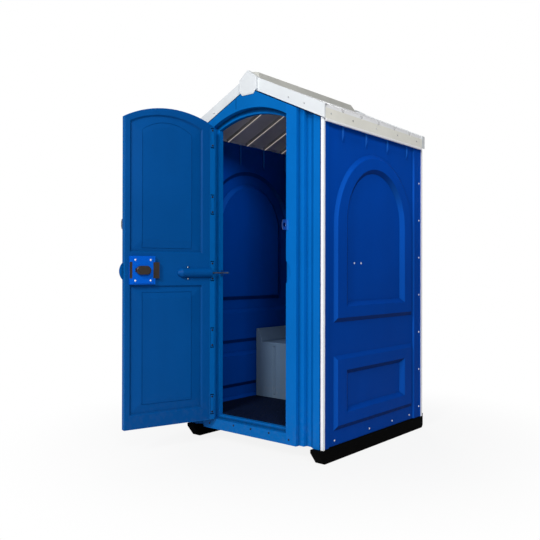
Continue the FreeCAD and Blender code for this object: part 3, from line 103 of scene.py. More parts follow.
def srgb(red: float, green: float, blue: float) -> Colour:
    """Turns display values from 0 to 255 into the linear values that a shader uses."""
    shares = (value / 255 for value in (red, green, blue))
    return tuple(share / 12.92 if share <= 0.04045 else ((share + 0.055) / 1.055) ** 2.4
                 for share in shares)


def scaled(colour: Colour, share: float) -> Colour:
    """Darkens or lightens a colour by a factor."""
    return tuple(channel * share for channel in colour)


class Value:
    """A number in a shader: a socket of a node or a constant, with arithmetic."""

    def __init__(self, graph: "Graph", source: Union[float, Socket]) -> None:
        """Keeps the graph that new nodes go into, and an output socket or a plain number."""
        self.graph = graph
        self.source = source

    def _maths(self, operation: str, *others: Operand) -> "Value":
        """Result of one maths node on this and the others."""
        node = self.graph.node("ShaderNodeMath", dict(enumerate((self, *others))), operation=operation)
        return Value(self.graph, node.outputs[0])

    def __add__(self, other: Operand) -> "Value":
        """Sum of the two."""
        return self._maths("ADD", other)

    def __sub__(self, other: Operand) -> "Value":
        """This less the other."""
        return self._maths("SUBTRACT", other)

    def __rsub__(self, other: float) -> "Value":
        """The other less this."""
        return Value(self.graph, other)._maths("SUBTRACT", self)

    def __mul__(self, other: Operand) -> "Value":
        """Product of the two."""
        return self._maths("MULTIPLY", other)

    __radd__ = __add__
    __rmul__ = __mul__

    def __abs__(self) -> "Value":
        """Size without sign."""
        return self._maths("ABSOLUTE")

    def sine(self) -> "Value":
        """Sine of this, in radians."""
        return self._maths("SINE")

    def diagonal(self, other: "Value") -> "Value":
        """Length of the line that this and the other span at right angles."""
        return (self * self + other * other)._maths("SQRT")

    def rise(self, low: float, high: float) -> "Value":
        """Smooth step from 0 at low to 1 at high, which may lie below low."""
        node = self.graph.node("ShaderNodeMapRange", {"Value": self, "From Min": low, "From Max": high},
                               interpolation_type="SMOOTHSTEP")
        return Value(self.graph, node.outputs["Result"])


@dataclass(frozen=True)
class Cloud:
    """A cloudy texture: its fineness per metre, its octaves, the weight of the finest, its stretch."""

    scale: float
    detail: float = 2.0
    weight: float = 0.5
    stretch: Point | None = None


class Graph:
    """A node graph: of a material, of the world, or of a geometry tree."""

    def __init__(self, tree: bpy.types.NodeTree) -> None:
        """Takes a node tree and empties it."""
        self.tree = tree
        tree.nodes.clear()

    def node(self, kind: str, inputs: Inputs, **settings: object) -> bpy.types.Node:
        """Adds a node.

        Args:
            kind: The node's type.
            inputs: Constants or links for its sockets, by name or place.
            settings: Its properties, which are set first.

        Returns:
            The node.
        """
        node = self.tree.nodes.new(kind)
        for name, value in settings.items():
            setattr(node, name, value)
        for key, value in inputs.items():
            source = value.source if isinstance(value, Value) else value
            if isinstance(source, Socket):
                self.tree.links.new(source, node.inputs[key])
            elif node.inputs[key].type == "RGBA":
                node.inputs[key].default_value = (*source, 1.0)
            else:
                node.inputs[key].default_value = source
        return node

    @cached_property
    def where(self) -> Socket:
        """Position in the piece's own coordinates, in metres."""
        return self.node("ShaderNodeTexCoord", {}).outputs["Object"]

    @cached_property
    def position(self) -> tuple[Value, ...]:
        """The position's parts across, along and up."""
        return self.parts(self.where)

    @cached_property
    def facing(self) -> tuple[Value, ...]:
        """The same parts of the direction that the surface looks in."""
        return self.parts(self.node("ShaderNodeTexCoord", {}).outputs["Normal"])

    def parts(self, vector: Socket) -> tuple[Value, ...]:
        """Splits a vector into its three parts."""
        node = self.node("ShaderNodeSeparateXYZ", {0: vector})
        return tuple(Value(self, part) for part in node.outputs)

    def noise(self, cloud: Cloud) -> Value:
        """Cloudy texture.

        Args:
            cloud: How the texture looks.

        Returns:
            A value about 0.5.
        """
        where = self.where
        if cloud.stretch:
            scaling = {0: where, 1: cloud.stretch}
            where = self.node("ShaderNodeVectorMath", scaling, operation="MULTIPLY").outputs["Vector"]
        node = self.node("ShaderNodeTexNoise", {"Vector": where, "Scale": cloud.scale,
                                                "Detail": cloud.detail, "Roughness": cloud.weight})
        return Value(self, node.outputs["Fac"])

    def enclosed(self, reach: float) -> Value:
        """How shut in a spot is by faces within a reach: 0 in the open and 1 deep in a corner."""
        node = self.node("ShaderNodeAmbientOcclusion", {"Distance": reach}, samples=GROOVE_SAMPLES,
                         only_local=True)
        return Value(self, node.outputs["AO"]).rise(*OPEN_TO_SHUT)

    def blend(self, share: Input, low: Input, high: Input) -> Value:
        """Mixes two colours: a share of 0 gives the first and 1 the second."""
        node = self.node("ShaderNodeMix", {0: share, 6: low, 7: high}, data_type="RGBA")
        return Value(self, node.outputs[2])

    def bump(self, height: Value, distance: float) -> Socket:
        """Normal of a relief from 0 to 1, where 1 stands for a distance in metres."""
        return self.node("ShaderNodeBump", {"Height": height, "Distance": distance}).outputs["Normal"]

    def surface(self, inputs: Inputs) -> None:
        """Ends the graph in one principled surface with these inputs."""
        shader = self.node("ShaderNodeBsdfPrincipled", inputs)
        self.node("ShaderNodeOutputMaterial", {"Surface": shader.outputs[0]})


@dataclass(frozen=True)
class Finish:
    """A surface finish. The subclasses say how it is painted."""

    name: str

    def paint(self, graph: Graph) -> None:
        """Fills the material's graph."""
        raise NotImplementedError

    @cache
    def material(self) -> bpy.types.Material:
        """The finish as a material, made once.

        Returns:
            The material.
        """
        material = bpy.data.materials.new(self.name)
        material.use_nodes = True
        self.paint(Graph(material.node_tree))
        return material


@dataclass(frozen=True)
class Moulded(Finish):
    """Moulded plastic sheet with faint clouds, flow marks, a fine grain, dust near the ground and painted shade in
    its grooves.
    """

    colour: Colour
    shade: float = 0.86
    rough: float = 0.42
    rough_spread: float = 0.12
    specular: float = 0.08
    clouds: Cloud = Cloud(2.3, 3.0)
    flow: Cloud = Cloud(1.0, 2.0, stretch=(9.0, 9.0, 0.8))
    flow_share: float = 0.4
    mottle: Range = (0.3, 0.7)
    grain: float = 0.00016
    pores: Cloud = Cloud(520.0, 1.0)
    swell: Cloud = Cloud(7.0, 1.0)
    swell_share: float = 2.5
    dust: float = 0.04
    dust_colour: Colour = srgb(150, 140, 125)
    dust_rough: float = 0.25
    dust_height: Range = (0.42, 0.06)
    specks: Cloud = Cloud(34.0, 4.0, 0.65)
    speckled: Range = (0.42, 0.7)
    # Painted shade in grooves and corners: its strength, the reach of the occlusion and the darkest share of the
    # colour.
    groove_shade: float = 0.5
    groove_reach: float = 0.02
    groove_darkest: float = 0.15

    def tint(self, graph: Graph, mottle: Value) -> Value:
        """Colour of the clean plastic."""
        return graph.blend(mottle, scaled(self.colour, self.shade), self.colour)

    def highlight(self, graph: Graph, colour: Value) -> Value:
        """Paints light and shade on the relief. A plain sheet has none."""
        return colour

    def paint(self, graph: Graph) -> None:
        """Fills the material's graph.

        Args:
            graph: An empty graph.
        """
        height = graph.position[2]
        clouds = graph.noise(self.clouds)
        flow = graph.noise(self.flow)
        mottle = (clouds * (1 - self.flow_share) + flow * self.flow_share).rise(*self.mottle)
        low = height.rise(*self.dust_height) * graph.noise(self.specks).rise(*self.speckled)
        dusted = graph.blend(low * self.dust, self.tint(graph, mottle), self.dust_colour)
        # Painted shade: grooves and corners darken where other faces lie close by.
        shut = graph.enclosed(self.groove_reach) * self.groove_shade
        shade_painted = graph.blend(shut, dusted, scaled(self.colour, self.groove_darkest))
        relief = graph.noise(self.pores) + graph.noise(self.swell) * self.swell_share
        rough = (clouds - 0.5) * self.rough_spread + (low * self.dust_rough + self.rough)
        graph.surface({"Base Color": self.highlight(graph, shade_painted), "Roughness": rough,
                       "Normal": graph.bump(relief, self.grain), "Specular IOR Level": self.specular})


@dataclass(frozen=True)
class Banded(Moulded):
    """Moulded plastic with a second colour under a height."""

    lower: Colour = srgb(250, 250, 252)
    height: float = 1.945
    blur: float = 0.0006

    def tint(self, graph: Graph, mottle: Value) -> Value:
        """Colour of the clean plastic."""
        under = graph.position[2].rise(self.height + self.blur, self.height - self.blur)
        return graph.blend(under, super().tint(graph, mottle), self.lower)


@dataclass(frozen=True)
class Fluted(Moulded):
    """Moulded wall plastic with relief: painted highlights on front flanks and flutes, painted shade on undersides
    and towards the ground.
    """

    # Painted shade towards the ground, painted highlights on front flanks and on the flutes under the eave,
    # painted shade on undersides.
    shade_heights: Range = (2.0, 0.8)
    foot_painted_shade: float = 0.26
    painted_highlight: Colour = srgb(26, 100, 196)
    flank: Range = (-0.15, -0.45)
    flank_highlight: float = 0.3
    under: Range = (-0.12, -0.4)
    under_painted_shade: float = 0.5
    flutes: Range = (1.815, 1.93)
    flute_flank: Range = (-0.3, -0.6)
    flute_reach: Range = (0.44, 0.43)

    def tint(self, graph: Graph, mottle: Value) -> Value:
        """Colour of the clean plastic, with painted shade that deepens towards the ground."""
        # Painted shade: the wall is darker towards the ground.
        depth = graph.position[2].rise(*self.shade_heights) * self.foot_painted_shade
        return graph.blend(depth, super().tint(graph, mottle), NO_COLOUR)

    def highlight(self, graph: Graph, colour: Value) -> Value:
        """Paints highlights on front flanks, most of all those of the flutes, and shade on undersides.

        Args:
            graph: The material's graph.
            colour: The colour so far.

        Returns:
            The colour.
        """
        _, along, height = graph.position
        _, back, up = graph.facing
        # Painted highlights on the flutes' front flanks and on front-facing relief, painted shade on undersides.
        among = abs(along).rise(*self.flute_reach)
        share = height.rise(*self.flutes) * back.rise(*self.flute_flank) * among
        shade_painted = graph.blend(up.rise(*self.under) * self.under_painted_shade, colour, NO_COLOUR)
        lit = graph.blend(back.rise(*self.flank) * self.flank_highlight, shade_painted, self.painted_highlight)
        return graph.blend(share, lit, self.painted_highlight)


@dataclass(frozen=True)
class Ceiling(Finish):
    """White roof sheet: painted shade inside and on front-facing rib ends outside, and a painted light band that
    glows at the ribs' edges inside.
    """

    outside: Colour
    outside_shade: float = 0.95
    outside_clouds: Range = (0.35, 0.75)
    # The inside colour is the white sheet with painted shade.
    shaded_inside: Colour = (0.66, 0.62, 0.6)
    inside_shade: float = 0.8
    inside_clouds: Range = (0.3, 0.7)
    from_under: Range = (-0.35, -0.15)
    clouds: Cloud = Cloud(3.0, 4.0, 0.6)
    rough: float = 0.35
    rough_spread: float = 0.2
    specular: float = 0.3
    pores: Cloud = Cloud(420.0, 1.0)
    grain: float = 0.0002
    # Painted light: the bright band and glow at the ribs' lower edges inside.
    rib_painted_light: Colour = (0.95, 0.9, 0.82)
    rib_level: Range = (2.2703, 2.2683)
    flank: Range = (-0.2, -0.4)
    flank_painted_shade: float = 0.5
    rib_ends: Range = (-0.6, -0.9)
    rib_end_painted_shade: float = 0.42
    painted_glow: Colour = (1.0, 0.86, 0.74)
    painted_glow_strength: float = 0.32
    glow_facing: Range = (-0.15, -0.3)

    def paint(self, graph: Graph) -> None:
        """Fills the material's graph.

        Args:
            graph: An empty graph.
        """
        across, _, height = graph.position
        _, back, up = graph.facing
        clouds = graph.noise(self.clouds)
        dull, dim = scaled(self.outside, self.outside_shade), scaled(self.shaded_inside, self.inside_shade)
        outer = graph.blend(clouds.rise(*self.outside_clouds), dull, self.outside)
        inner = graph.blend(clouds.rise(*self.inside_clouds), dim, self.shaded_inside)
        # Painted shade on front-facing flanks inside, and painted light with a glow on the band at the ribs' lower
        # edges.
        flank = back.rise(*self.flank)
        rib_edge = (height + abs(across) * ROOF_SLOPE).rise(*self.rib_level) * flank
        sheet = graph.blend(flank, inner, scaled(self.shaded_inside, self.flank_painted_shade))
        ribbed = graph.blend(rib_edge, sheet, self.rib_painted_light)
        # Painted shade: outside faces that look to the front are darker.
        wear_and_shade = scaled(self.outside, self.rib_end_painted_shade)
        outside_shaded = graph.blend(back.rise(*self.rib_ends), outer, wear_and_shade)
        glow = graph.blend(rib_edge * up.rise(*self.glow_facing), NO_COLOUR, self.painted_glow)
        graph.surface({"Base Color": graph.blend(up.rise(*self.from_under), ribbed, outside_shaded),
                       "Roughness": clouds * self.rough_spread + self.rough,
                       "Normal": graph.bump(graph.noise(self.pores), self.grain),
                       "Specular IOR Level": self.specular, "Emission Color": glow,
                       "Emission Strength": self.painted_glow_strength})


@dataclass(frozen=True)
class Steel(Finish):
    """Worn steel with fine marks."""

    colour: Colour = (0.6, 0.61, 0.63)
    metallic: float = 1.0
    rough: float = 0.3
    marks: Cloud = Cloud(1.0, 3.0, 0.6, stretch=(60.0, 60.0, 900.0))
    marks_rough: float = 0.18
    marks_depth: float = 0.00004
    spots: Cloud = Cloud(90.0, 4.0, 0.6)
    spotted: Range = (0.5, 0.75)
    spots_rough: float = 0.12
    spots_shade: float = 0.62

    def wear_and_shade(self, graph: Graph, spots: Value) -> Value:
        """Colour of the bare metal with its spots."""
        return graph.blend(spots.rise(*self.spotted), self.colour, scaled(self.colour, self.spots_shade))

    def paint(self, graph: Graph) -> None:
        """Fills the material's graph.

        Args:
            graph: An empty graph.
        """
        marks, spots = graph.noise(self.marks), graph.noise(self.spots)
        smoothest = self.rough - (self.marks_rough + self.spots_rough) / 2
        graph.surface({"Base Color": self.wear_and_shade(graph, spots), "Metallic": self.metallic,
                       "Roughness": marks * self.marks_rough + (spots * self.spots_rough + smoothest),
                       "Normal": graph.bump(marks, self.marks_depth)})


@dataclass(frozen=True)
class Plane:
    """A flat divide, past which a finish is another."""

    direction: Point
    level: float
    blur: float = 0.0004

    def past(self, graph: Graph) -> Value:
        """0 before the divide and 1 past it."""
        node = graph.node("ShaderNodeVectorMath", {0: graph.where, 1: self.direction},
                          operation="DOT_PRODUCT")
        return (Value(graph, node.outputs["Value"]) - self.level).rise(-self.blur, self.blur)


FRONT_BLUE = srgb(0, 106, 190)


@dataclass(frozen=True)
class PlatedEye(Steel):
    """Steel eye whose foot plate is painted over together with the face behind it."""

    plate: Plane = Plane((0.0, 1.0, 0.0), -0.6215)
    paint_colour: Colour = FRONT_BLUE
    paint_rough: float = 0.2
    spots: Cloud = Cloud(160.0, 3.0)
    spotted: Range = (0.6, 0.75)
    spots_shade: float = 0.6

    def paint(self, graph: Graph) -> None:
        """Fills the material's graph.

        Args:
            graph: An empty graph.
        """
        painted = self.plate.past(graph)
        bare = self.wear_and_shade(graph, graph.noise(self.spots))
        graph.surface({"Base Color": graph.blend(painted, bare, self.paint_colour),
                       "Metallic": 1 - painted, "Roughness": painted * self.paint_rough + self.rough,
                       "Normal": graph.bump(graph.noise(self.marks), self.marks_depth)})


@dataclass(frozen=True)
class Scuffed(Finish):
    """Dark plastic that is dragged over the ground."""

    colour: Colour = (0.0025, 0.0025, 0.0025)
    rough: float = 0.65
    specular: float = 0.02
    scuff: Colour = srgb(26, 24, 22)
    scuff_share: float = 0.6
    scuff_rough: float = 0.2
    drag: Cloud = Cloud(1.0, 4.0, 0.6, stretch=(70.0, 6.0, 70.0))
    dragged: Range = (0.55, 0.75)
    patches: Cloud = Cloud(11.0, 3.0)
    patched: Range = (0.4, 0.7)
    pits: Cloud = Cloud(300.0, 2.0)
    pits_share: float = 0.6
    depth: float = 0.0004

    def paint(self, graph: Graph) -> None:
        """Fills the material's graph.

        Args:
            graph: An empty graph.
        """
        drag = graph.noise(self.drag)
        wear_and_shade = drag.rise(*self.dragged) * graph.noise(self.patches).rise(*self.patched)
        relief = drag + graph.noise(self.pits) * self.pits_share
        graph.surface({"Base Color": graph.blend(wear_and_shade * self.scuff_share, self.colour, self.scuff),
                       "Roughness": wear_and_shade * self.scuff_rough + self.rough,
                       "Normal": graph.bump(relief, self.depth), "Specular IOR Level": self.specular})


@dataclass(frozen=True)
class TwoField(Finish):
    """Indicator plate under a clear coat: one colour for taken and, past a divide, one for free."""

    divide: Plane
    taken: Colour = (0.5, 0.01, 0.01)
    free: Colour = (0.02, 0.3, 0.05)
    rough: float = 0.2
    coat: float = 0.3
    smear: Cloud = Cloud(120.0, 3.0)
    smear_colour: Colour = (0.6, 0.6, 0.6)
    smear_share: float = 0.2
    smear_rough: float = 0.15

    def paint(self, graph: Graph) -> None:
        """Fills the material's graph.

        Args:
            graph: An empty graph.
        """
        smear = graph.noise(self.smear)
        field = graph.blend(self.divide.past(graph), self.taken, self.free)
        graph.surface({"Base Color": graph.blend(smear * self.smear_share, field, self.smear_colour),
                       "Roughness": smear * self.smear_rough + self.rough, "Coat Weight": self.coat})


@dataclass(frozen=True)
class Paper(Finish):
    """Rolled soft paper: layers on the ends and a quilted face."""

    axis: Point
    colour: Colour = (0.85, 0.85, 0.82)
    rough: float = 0.9
    specular: float = 0.1
    layers: float = 9000.0
    layered: Range = (-0.2, 1.0)
    layer_share: float = 0.25
    layer_shade: float = 0.7
    layer_depth: float = 0.3
    quilt: Range = (900.0, 700.0)
    quilt_depth: float = 0.4
    depth: float = 0.0004

    def paint(self, graph: Graph) -> None:
        """Fills the material's graph.

        Args:
            graph: An empty graph.
        """
        across, along, up = graph.position
        radius = (across - self.axis[0]).diagonal(up - self.axis[2])
        layers = (radius * self.layers).sine()
        quilt = (along * self.quilt[0]).sine() * (up * self.quilt[1]).sine()
        share = layers.rise(*self.layered) * self.layer_share
        colour = graph.blend(share, self.colour, scaled(self.colour, self.layer_shade))
        relief = layers * self.layer_depth + quilt * self.quilt_depth
        graph.surface({"Base Color": colour, "Roughness": self.rough,
                       "Normal": graph.bump(relief, self.depth), "Specular IOR Level": self.specular})


HEADER = Moulded("header blue plastic", srgb(0, 102, 180), shade=0.9, groove_shade=0.85)
FRONT = Moulded("front blue plastic", FRONT_BLUE, shade=0.9, groove_shade=0.45)
DOOR_OUT = Moulded("door blue plastic", srgb(0, 95, 172), shade=0.9, groove_shade=0.7)
DOOR_IN = Moulded("door lining blue plastic", srgb(0, 78, 149), shade=0.88, groove_shade=1.0)
# Darker blue beads round the door's fields: painted shade lines at the fields' edges.
FIELD_SHADE_LINE = Moulded("door field shade line blue plastic", srgb(0, 66, 128), rough=0.5, dust=0.0, specular=0.03)
WALL = Fluted("wall ultramarine plastic", srgb(0, 76, 186), shade=0.9, grain=0.0002, specular=0.02,
              dust=0.006, groove_shade=1.0, groove_reach=0.022)
LOCK_BLUE = Moulded("lock bright blue plastic", srgb(0, 96, 215), rough=0.35, dust=0.0)
TRIM_DUST = srgb(120, 112, 100)
WHITE = Moulded("white trim plastic", srgb(223, 227, 230), shade=0.93, dust_colour=TRIM_DUST)
STRIP = Moulded("corner strip plastic", srgb(245, 248, 252), shade=0.95, dust_colour=TRIM_DUST)
BEIGE = Banded("eave grey-beige plastic", srgb(248, 247, 238), shade=0.93, rough=0.5)
VENT = Moulded("ridge grey plastic", srgb(200, 200, 194), rough=0.5)
ROOF = Ceiling("roof sheet plastic", srgb(251, 252, 254))
TANK = Moulded("tank blue-grey plastic", srgb(104, 128, 154), shade=0.85, dust=0.2, groove_shade=0.8)
FLOOR = Moulded("floor dark plastic", srgb(12, 24, 50), shade=0.8, rough=0.6, dust=0.02, specular=0.03)
# Painted shade: the hinge knuckles are dark blue to stand for the shadow beside the hinge plates.
HINGE_SHADE_BLUE = Moulded("hinge blue plastic with painted shade", srgb(0, 46, 92), rough=0.5, dust=0.0)
# Dark rubber for the header's seam; the same dark stands as painted shade in the lines under the front verges and
# round the hinge plates.
JOINT_AND_SHADE_DARK = Moulded("dark rubber for joints and painted shade lines", srgb(0, 22, 48), rough=0.8, dust=0.0, specular=0.02)
BLACK = Moulded("black plastic", srgb(30, 30, 34), rough=0.4, dust=0.0)
BROWN = Moulded("dark brown plastic", srgb(64, 54, 48), shade=0.55, rough=0.3, dust=0.0, specular=0.5)
SKID = Scuffed("skid black plastic")
STEEL = Steel("steel")
BRIGHT = Steel("bright screw steel", srgb(225, 225, 230), rough=0.25)
ALUMINIUM = Steel("bright rivet aluminium", srgb(240, 242, 246), metallic=0.15, rough=0.4)
ROD_STEEL = Steel("grey rod steel", srgb(76, 84, 102), metallic=0.4, rough=0.4)
DARK_STEEL = Steel("dark coated steel", srgb(34, 28, 30), metallic=0.4, rough=0.5)
BLUE_STEEL = Steel("blue painted steel", srgb(0, 62, 130), metallic=0.0, rough=0.5)
FRAME_EYE = PlatedEye("front eye steel", srgb(128, 136, 176))
# How far outside the plane of the hinge pins the painted plate of the door's eye begins.
EYE_PROUD = 0.00244
DOOR_EYE = PlatedEye("door eye steel", plate=Plane(tuple(INWARD), HINGE.dot(INWARD) - EYE_PROUD))
PAPER = Paper("soft paper", tuple(JOINTS["roll_spin"]["pos_m"]))


def dress(finish: Finish, *nodes: str, edge: float = 0.001) -> None:
    """Puts a finish and soft moulded edges on nodes of the part, without touching their meshes.

    Args:
        finish: The finish.
        nodes: The nodes' names.
        edge: Width of the rounded edges in metres, or 0 to keep them sharp.
    """
    for node in nodes:
        piece = frame["nodes"][node]
        piece.data.materials.clear()
        piece.data.materials.append(finish.material())
        if edge:
            piece.modifiers.new("weld", "WELD").merge_threshold = MERGE
            bevel = piece.modifiers.new("round", "BEVEL")
            bevel.width = edge
            bevel.segments = ROUND_STEPS
            bevel.limit_method = "ANGLE"
            bevel.angle_limit = ROUND_OVER
            piece.modifiers.new("even normals", "WEIGHTED_NORMAL").keep_sharp = True
        log.info("dressed %s with %s", node, finish.name)


def both(name: str) -> tuple[str, str]:
    """The names of a pair of nodes, left and right."""
    return name + "_left", name + "_right"


def new_object(name: str, data: bpy.types.ID) -> Piece:
    """Puts data into the scene as an object at the origin.

    Args:
        name: The object's name.
        data: Its mesh, curve, light or camera.

    Returns:
        The object.
    """
    piece = bpy.data.objects.new(name, data)
    bpy.context.scene.collection.objects.link(piece)
    return piece


def evaluated(source: Piece) -> Mesh:
    """Turns a curve, or a mesh with its modifiers, into a plain mesh.

    Args:
        source: The object; it is removed.

    Returns:
        The plain mesh.
    """
    bpy.context.view_layer.update()
    graph = bpy.context.evaluated_depsgraph_get()
    data = bpy.data.meshes.new_from_object(source.evaluated_get(graph), depsgraph=graph)
    bpy.data.objects.remove(source)
    return data


def to_object(data: Mesh, name: str, smooth: float = SMOOTH_UNDER) -> Piece:
    """Turns a finished mesh into a piece.

    Args:
        data: The mesh.
        name: The piece's name.
        smooth: Edges flatter than this angle, in radians, are shaded smooth.

    Returns:
        The piece, at the origin.
    """
    data.name = name
    data.shade_smooth()
    data.set_sharp_from_angle(angle=smooth)
    return new_object(name, data)


def closed_mesh(mesh: bmesh.types.BMesh, finish: Finish) -> Mesh:
    """Points the faces of a closed shape outwards and gives it its finish.

    Args:
        mesh: The shape; it is freed.
        finish: Its finish.

    Returns:
        The shape as a mesh.
    """
    bmesh.ops.recalc_face_normals(mesh, faces=mesh.faces)
    data = bpy.data.meshes.new("shape")
    mesh.to_mesh(data)
    mesh.free()
    data.materials.append(finish.material())
    return data


def attach(piece: Piece, body: Body, node: str, instead: bool = False) -> None:
    """Lets an added piece ride on a body.

    Args:
        piece: The piece.
        body: The body that carries it.
        node: The node.
        instead: Whether the piece takes the node's place.
    """
    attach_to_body(piece, body.value)
    if instead:
        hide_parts(node)
    subpart = next(row for row in frame["record"]["subparts"] if row["node"] == node)
    log.info("added %s", piece.name)


def rail(name: str, points: Iterable[Point], radius: float, finish: Finish,
         closed: bool = False) -> Piece:
    """Round bead along a line.

    Args:
        name: Name of the piece.
        points: Corners of the line.
        radius: Radius of the bead.
        finish: Its finish.
        closed: Whether the line runs back to its start.

    Returns:
        The piece as a plain mesh, at the origin.
    """
    curve = bpy.data.curves.new(name, "CURVE")
    curve.dimensions = "3D"
    curve.bevel_depth = radius
    curve.bevel_resolution = BEAD_STEPS
    curve.use_fill_caps = not closed
    corners = list(points)
    line = curve.splines.new("POLY")
    line.points.add(len(corners) - 1)
    line.use_cyclic_u = closed
    for spot, corner in zip(line.points, corners):
        spot.co = (*corner, 1.0)
    mesh = bmesh.new()
    mesh.from_mesh(evaluated(new_object(name + "_line", curve)))
    return to_object(closed_mesh(mesh, finish), name, BEAD_SMOOTH_UNDER)


def merged(node: str) -> bmesh.types.BMesh:
    """Copies a node's mesh, with its loose triangles joined at their corners.

    Args:
        node: The node's name.

    Returns:
        The copy, whose faces are numbered.
    """
    mesh = bmesh.new()
    mesh.from_mesh(frame["nodes"][node].data)
    bmesh.ops.remove_doubles(mesh, verts=mesh.verts, dist=MERGE)
    mesh.faces.index_update()
    return mesh


def solid_faces(first: bmesh.types.BMVert, left: set[bmesh.types.BMVert]) -> list[bmesh.types.BMFace]:
    """Faces of the solid that a corner belongs to.

    Args:
        first: The corner.
        left: Corners of all solids still to be done; this one's are taken out.

    Returns:
        The faces, in the order of the mesh.
    """
    left.remove(first)
    front = [first]
    faces = set()
    while front:
        vertex = front.pop()
        faces.update(vertex.link_faces)
        nearby = {edge.other_vert(vertex) for edge in vertex.link_edges} & left
        left -= nearby
        front += nearby
    return sorted(faces, key=lambda face: face.index)


def islands(node: str) -> list[tuple[Vector, Vector]]:
    """Where the separate solids of a grouped node stand.

    Args:
        node: The node's name.

    Returns:
        For each solid, the middle of its foot and the direction it stands in.
    """
    mesh = merged(node)
    left = set(mesh.verts)
    found = []
    for first in mesh.verts:
        if first in left:
            faces = solid_faces(first, left)
            base = max(faces, key=lambda face: face.calc_area())
            flat = [face for face in faces if face.normal.dot(base.normal) > SAME_WAY]
            area = sum(face.calc_area() for face in flat)
            foot = sum((face.calc_center_median() * face.calc_area() for face in flat), Vector()) / area
            found.append((foot, -base.normal.copy()))
    mesh.free()
    return found


def flat_outlines(node: str, origin: Vector, normal: Vector, depth: float) -> list[list[Vector]]:
    """Outlines of the flat faces of a node that lie at one depth.

    Args:
        node: The node's name.
        origin: A spot at depth 0.
        normal: Unit vector that the faces look along.
        depth: Their distance from the origin along the normal, in metres.

    Returns:
        The corners of each closed outline, in order.
    """
    tolerance = 0.0002
    mesh = merged(node)
    flat = {face for face in mesh.faces if face.normal.dot(normal) > SAME_WAY
            and abs((face.calc_center_median() - origin).dot(normal) - depth) < tolerance}
    rim = {edge for edge in mesh.edges if sum(face in flat for face in edge.link_faces) == 1}
    loops = []
    for edge in mesh.edges:
        if edge in rim:
            line = list(edge.verts)
            step = edge
            while step:
                rim.discard(step)
                step = next((other for other in line[-1].link_edges if other in rim), None)
                if step:
                    line.append(step.other_vert(line[-1]))
            loops.append([vertex.co.copy() for vertex in line[:-1]])
    mesh.free()
    return loops


class Tree(Graph):
    """A geometry tree that sets painted copies of a shape on points, with named inputs."""

    def __init__(self, name: str, inputs: dict[str, str]) -> None:
        """Makes the tree with its sockets.

        Args:
            name: The tree's name.
            inputs: Kinds of its inputs beside the points and the finish, by name.
        """
        tree = bpy.data.node_groups.new(name, "GeometryNodeTree")
        for label, kind in {"Geometry": "Geometry", **inputs, "Finish": "Material"}.items():
            tree.interface.new_socket(label, in_out="INPUT", socket_type="NodeSocket" + kind)
        tree.interface.new_socket("Geometry", in_out="OUTPUT", socket_type="NodeSocketGeometry")
        super().__init__(tree)
        self.start = self.node("NodeGroupInput", {})

    def given(self, name: str) -> Socket:
        """The tree's own input of a name."""
        return self.start.outputs[name]

    def attribute(self, name: str, kind: str) -> Socket:
        """The points' attribute of a name and a kind."""
        node = self.node("GeometryNodeInputNamedAttribute", {"Name": name}, data_type=kind)
        return node.outputs["Attribute"]

    def copies(self, inputs: dict[str, Socket]) -> Socket:
        """Sets a copy of a shape on each point, as plain geometry, and paints it.

        Args:
            inputs: The shape as Instance and, where the copies turn, their Rotation.

        Returns:
            The geometry.
        """
        placed = self.node("GeometryNodeInstanceOnPoints", {"Points": self.given("Geometry"), **inputs})
        real = self.node("GeometryNodeRealizeInstances", {0: placed.outputs[0]})
        return self.painted(real.outputs[0], {"Material": self.given("Finish")})

    def painted(self, geometry: Socket, inputs: dict[str, Socket]) -> Socket:
        """Paints geometry with the Material of the inputs, or only their Selection of it."""
        return self.node("GeometryNodeSetMaterial", {"Geometry": geometry, **inputs}).outputs[0]

    def run(self, result: Socket, name: str, points: Mesh, inputs: dict[str, object]) -> Piece:
        """Ends the tree, runs it once and keeps its result as a plain mesh.

        Args:
            result: What the tree puts out.
            name: Name of the piece.
            points: The mesh that goes into the tree.
            inputs: Values of the named inputs.

        Returns:
            The piece, at the origin.
        """
        self.node("NodeGroupOutput", {0: result})
        source = new_object(name + "_source", points)
        modifier = source.modifiers.new("set", "NODES")
        modifier.node_group = self.tree
        for item in self.tree.interface.items_tree:
            if item.in_out == "INPUT" and item.name in inputs:
                modifier[item.identifier] = inputs[item.name]
        return to_object(evaluated(source), name)


def point_mesh(name: str, spots: Iterable[Point]) -> Mesh:
    """A mesh of loose points.

    Args:
        name: Its name.
        spots: Where the points lie.

    Returns:
        The mesh.
    """
    points = bpy.data.meshes.new(name)
    points.from_pydata([tuple(spot) for spot in spots], [], [])
    return points


